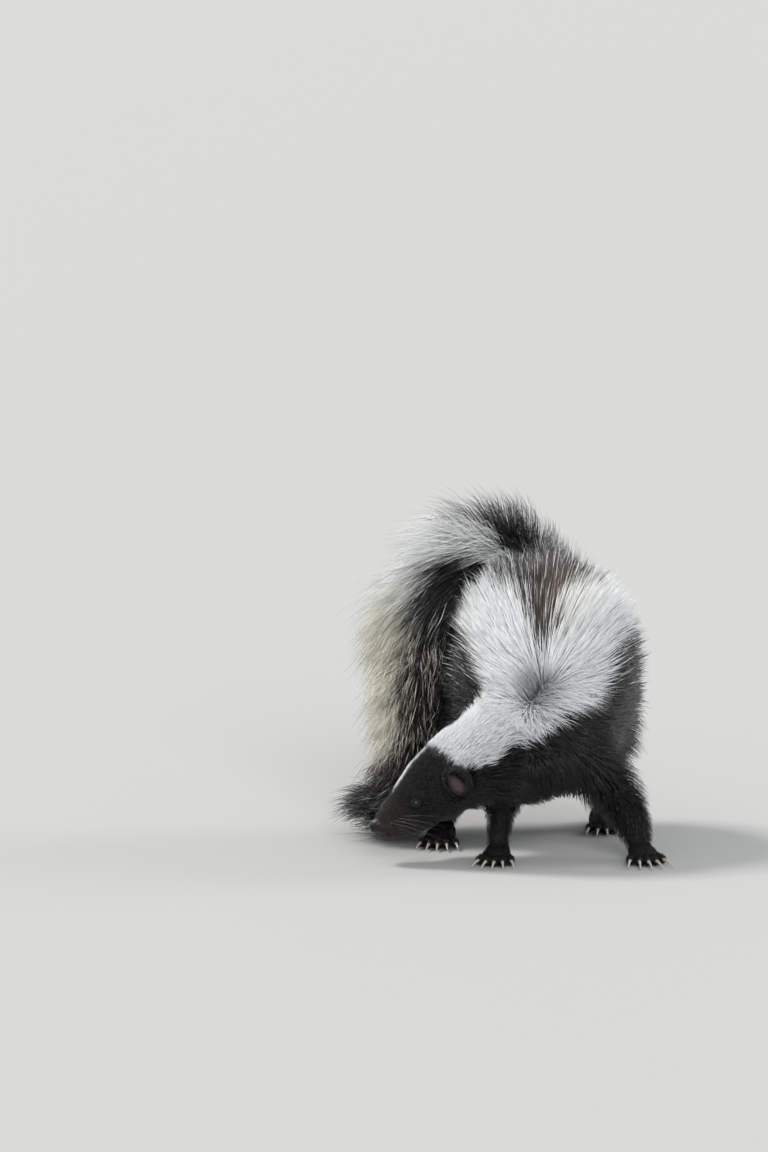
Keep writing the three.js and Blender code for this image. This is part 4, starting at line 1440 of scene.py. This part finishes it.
class SKUNK_OT_claws(bpy.types.Operator):
    """Make the claws of every paw"""

    bl_idname = "skunk.claws"
    bl_label = "Claws"

    def execute(self, context):
        """A claw's line is part of a parabola down to the floor, and its half width falls as a
        power of what is left of its length."""
        colours = (context.scene.skunk_finishes.horn, (0.34, 0.28, 0.22))
        horn = grainy("claw_horn", (700, 3), colours, 0.32, bump=(0.0001, 0.4))
        share, rooted = np.linspace(0, 1, 12), 3.5
        half = 1.25 * (1 - share) ** 0.6 + 0.08
        half[-1] = 0.05
        for name, paw in PAWS.items():
            claws = []
            for toe in range(TOES):
                _, _, end, splay = toe_line(paw, toe)
                line = end - rooted * splay + splay * ((paw["claw"] + rooted) * share)[:, None]
                line += UP * (0.9 + 1.1 * share - 3.9 * share**2)[:, None]
                line[:, 2] = np.maximum(line[:, 2], 0.5)
                claws.append(tube(placed(line), half * MM, UP, 10))
            dress(make_mesh(f"claws_{name}", *together(claws)), horn, "claw")
        return {"FINISHED"}


class SKUNK_OT_whiskers(bpy.types.Operator):
    """Make the whiskers on both sides of the muzzle"""

    bl_idname = "skunk.whiskers"
    bl_label = "Whiskers"

    def execute(self, context):
        """A whisker leaves its pad outwards, and bends back and down with the square of its
        length."""
        random = np.random.default_rng(SEED + 1)
        length = context.scene.skunk_sizes.whisker_length / MM
        bristle = grainy("whisker_bristle", (300, 2), ((0.02, 0.018, 0.017), (0.11, 0.1, 0.09)), 0.35)
        share = np.linspace(0, 1, 10)[:, None]
        half = 0.13 * (1 - share[:, 0]) ** 0.7 + 0.015
        whiskers = []
        for side in (1, -1):
            for row, column in np.ndindex(4, 5):
                root = np.array([side * (5.5 + 0.55 * column), 7 + 2.4 * column, 0.4 - 1.7 * row])
                out = unit(np.array([side * 1.0, -0.15 + 0.16 * column, -0.12 - 0.16 * row]))
                long = length * (0.35 + 0.16 * column) * (0.8 + 0.3 * random.random())
                bend = np.array([-side * 0.1, 0.34, -0.25 - 0.12 * random.random()])
                line = root + long * (out * share + bend * share**2)
                whiskers.append(tube(line, half, np.array([0, 0.3, 1.0]), 5))
        dress(head_mesh("whiskers", *together(whiskers)), bristle, "whisker")
        return {"FINISHED"}


class SKUNK_OT_stage(bpy.types.Operator):
    """Set the plain floor, the soft lights and the camera"""

    bl_idname = "skunk.stage"
    bl_label = "Stage"

    def execute(self, context):
        corners = np.array([[-1, -1, 0], [1, -1, 0], [1, 1, 0], [-1, 1, 0]]) * FLOOR_HALF
        floor = make_mesh("floor", corners, np.array([[0, 1, 2, 3]]), smooth=False)
        floor.data.materials.append(Finish("pale_floor").set(Base_Color=FLOOR_COLOUR, Roughness=0.85))
        world = bpy.data.worlds.new("soft_studio")
        world.use_nodes = True
        air = world.node_tree.nodes["Background"].inputs
        air["Color"].default_value, air["Strength"].default_value = AIR_COLOUR, AIR_STRENGTH
        context.scene.world = world
        for name, settings in LIGHTS.items():
            self.light(name, *settings)
        context.scene.view_settings.view_transform = "Standard"
        self.camera(context)
        return {"FINISHED"}

    def light(self, name, place, width, power, colour):
        """A far, soft light of a width in degrees, which shines evenly from a place's direction."""
        lamp = bpy.data.lights.new(name, "SUN")
        lamp.angle, lamp.energy, lamp.color = math.radians(width), power, colour
        made = bpy.data.objects.new(name, lamp)
        made.location = place
        made.rotation_euler = (Vector((0, 0, 0.1)) - Vector(place)).to_track_quat("-Z", "Y").to_euler()
        bpy.context.scene.collection.objects.link(made)

    def camera(self, context):
        """The camera stands off from the ground under the chest, and looks level with +Y, then
        turned a little to its left and down."""
        rise = math.radians(CAMERA_HEIGHT_ANGLE)
        lens = bpy.data.cameras.new("camera")
        lens.sensor_fit, lens.sensor_height, lens.lens = "VERTICAL", CAMERA_FILM, CAMERA_LENS
        lens.clip_start, lens.clip_end = 0.1, 60
        made = bpy.data.objects.new("camera", lens)
        made.location = placed([0, 0, 0]) + CAMERA_DISTANCE * np.array([0, -math.cos(rise), math.sin(rise)])
        made.rotation_euler = (math.radians(90 - CAMERA_PITCH), 0, math.radians(CAMERA_YAW))
        context.scene.collection.objects.link(made)
        context.scene.camera = made


class SKUNK_PT_panel(bpy.types.Panel):
    """Everything that makes the skunk"""

    bl_label = "Striped skunk"
    bl_idname = "SKUNK_PT_panel"
    bl_space_type = "VIEW_3D"
    bl_region_type = "UI"
    bl_category = "Skunk"

    def draw(self, context):
        for group in (context.scene.skunk_finishes, context.scene.skunk_sizes):
            for key in group.__annotations__:
                self.layout.prop(group, key)
        for step in STEPS:
            self.layout.operator(step.bl_idname)


STEPS = (
    SKUNK_OT_skin, SKUNK_OT_coat, SKUNK_OT_eyes, SKUNK_OT_nose,
    SKUNK_OT_claws, SKUNK_OT_whiskers, SKUNK_OT_stage,
)
CLASSES = (SkunkFinishes, SkunkSizes, *STEPS, SKUNK_PT_panel)


def register():
    """Make Blender know the classes, and give every scene the two groups of settings."""
    for each in CLASSES:
        bpy.utils.register_class(each)
    bpy.types.Scene.skunk_finishes = PointerProperty(type=SkunkFinishes)
    bpy.types.Scene.skunk_sizes = PointerProperty(type=SkunkSizes)


def unregister():
    """Take back what register did."""
    del bpy.types.Scene.skunk_sizes
    del bpy.types.Scene.skunk_finishes
    for each in reversed(CLASSES):
        bpy.utils.unregister_class(each)


def main():
    """Build everything in order."""
    register()
    for step in STEPS:
        group, name = step.bl_idname.split(".")
        getattr(getattr(bpy.ops, group), name)()


if __name__ == "__main__":
    main()
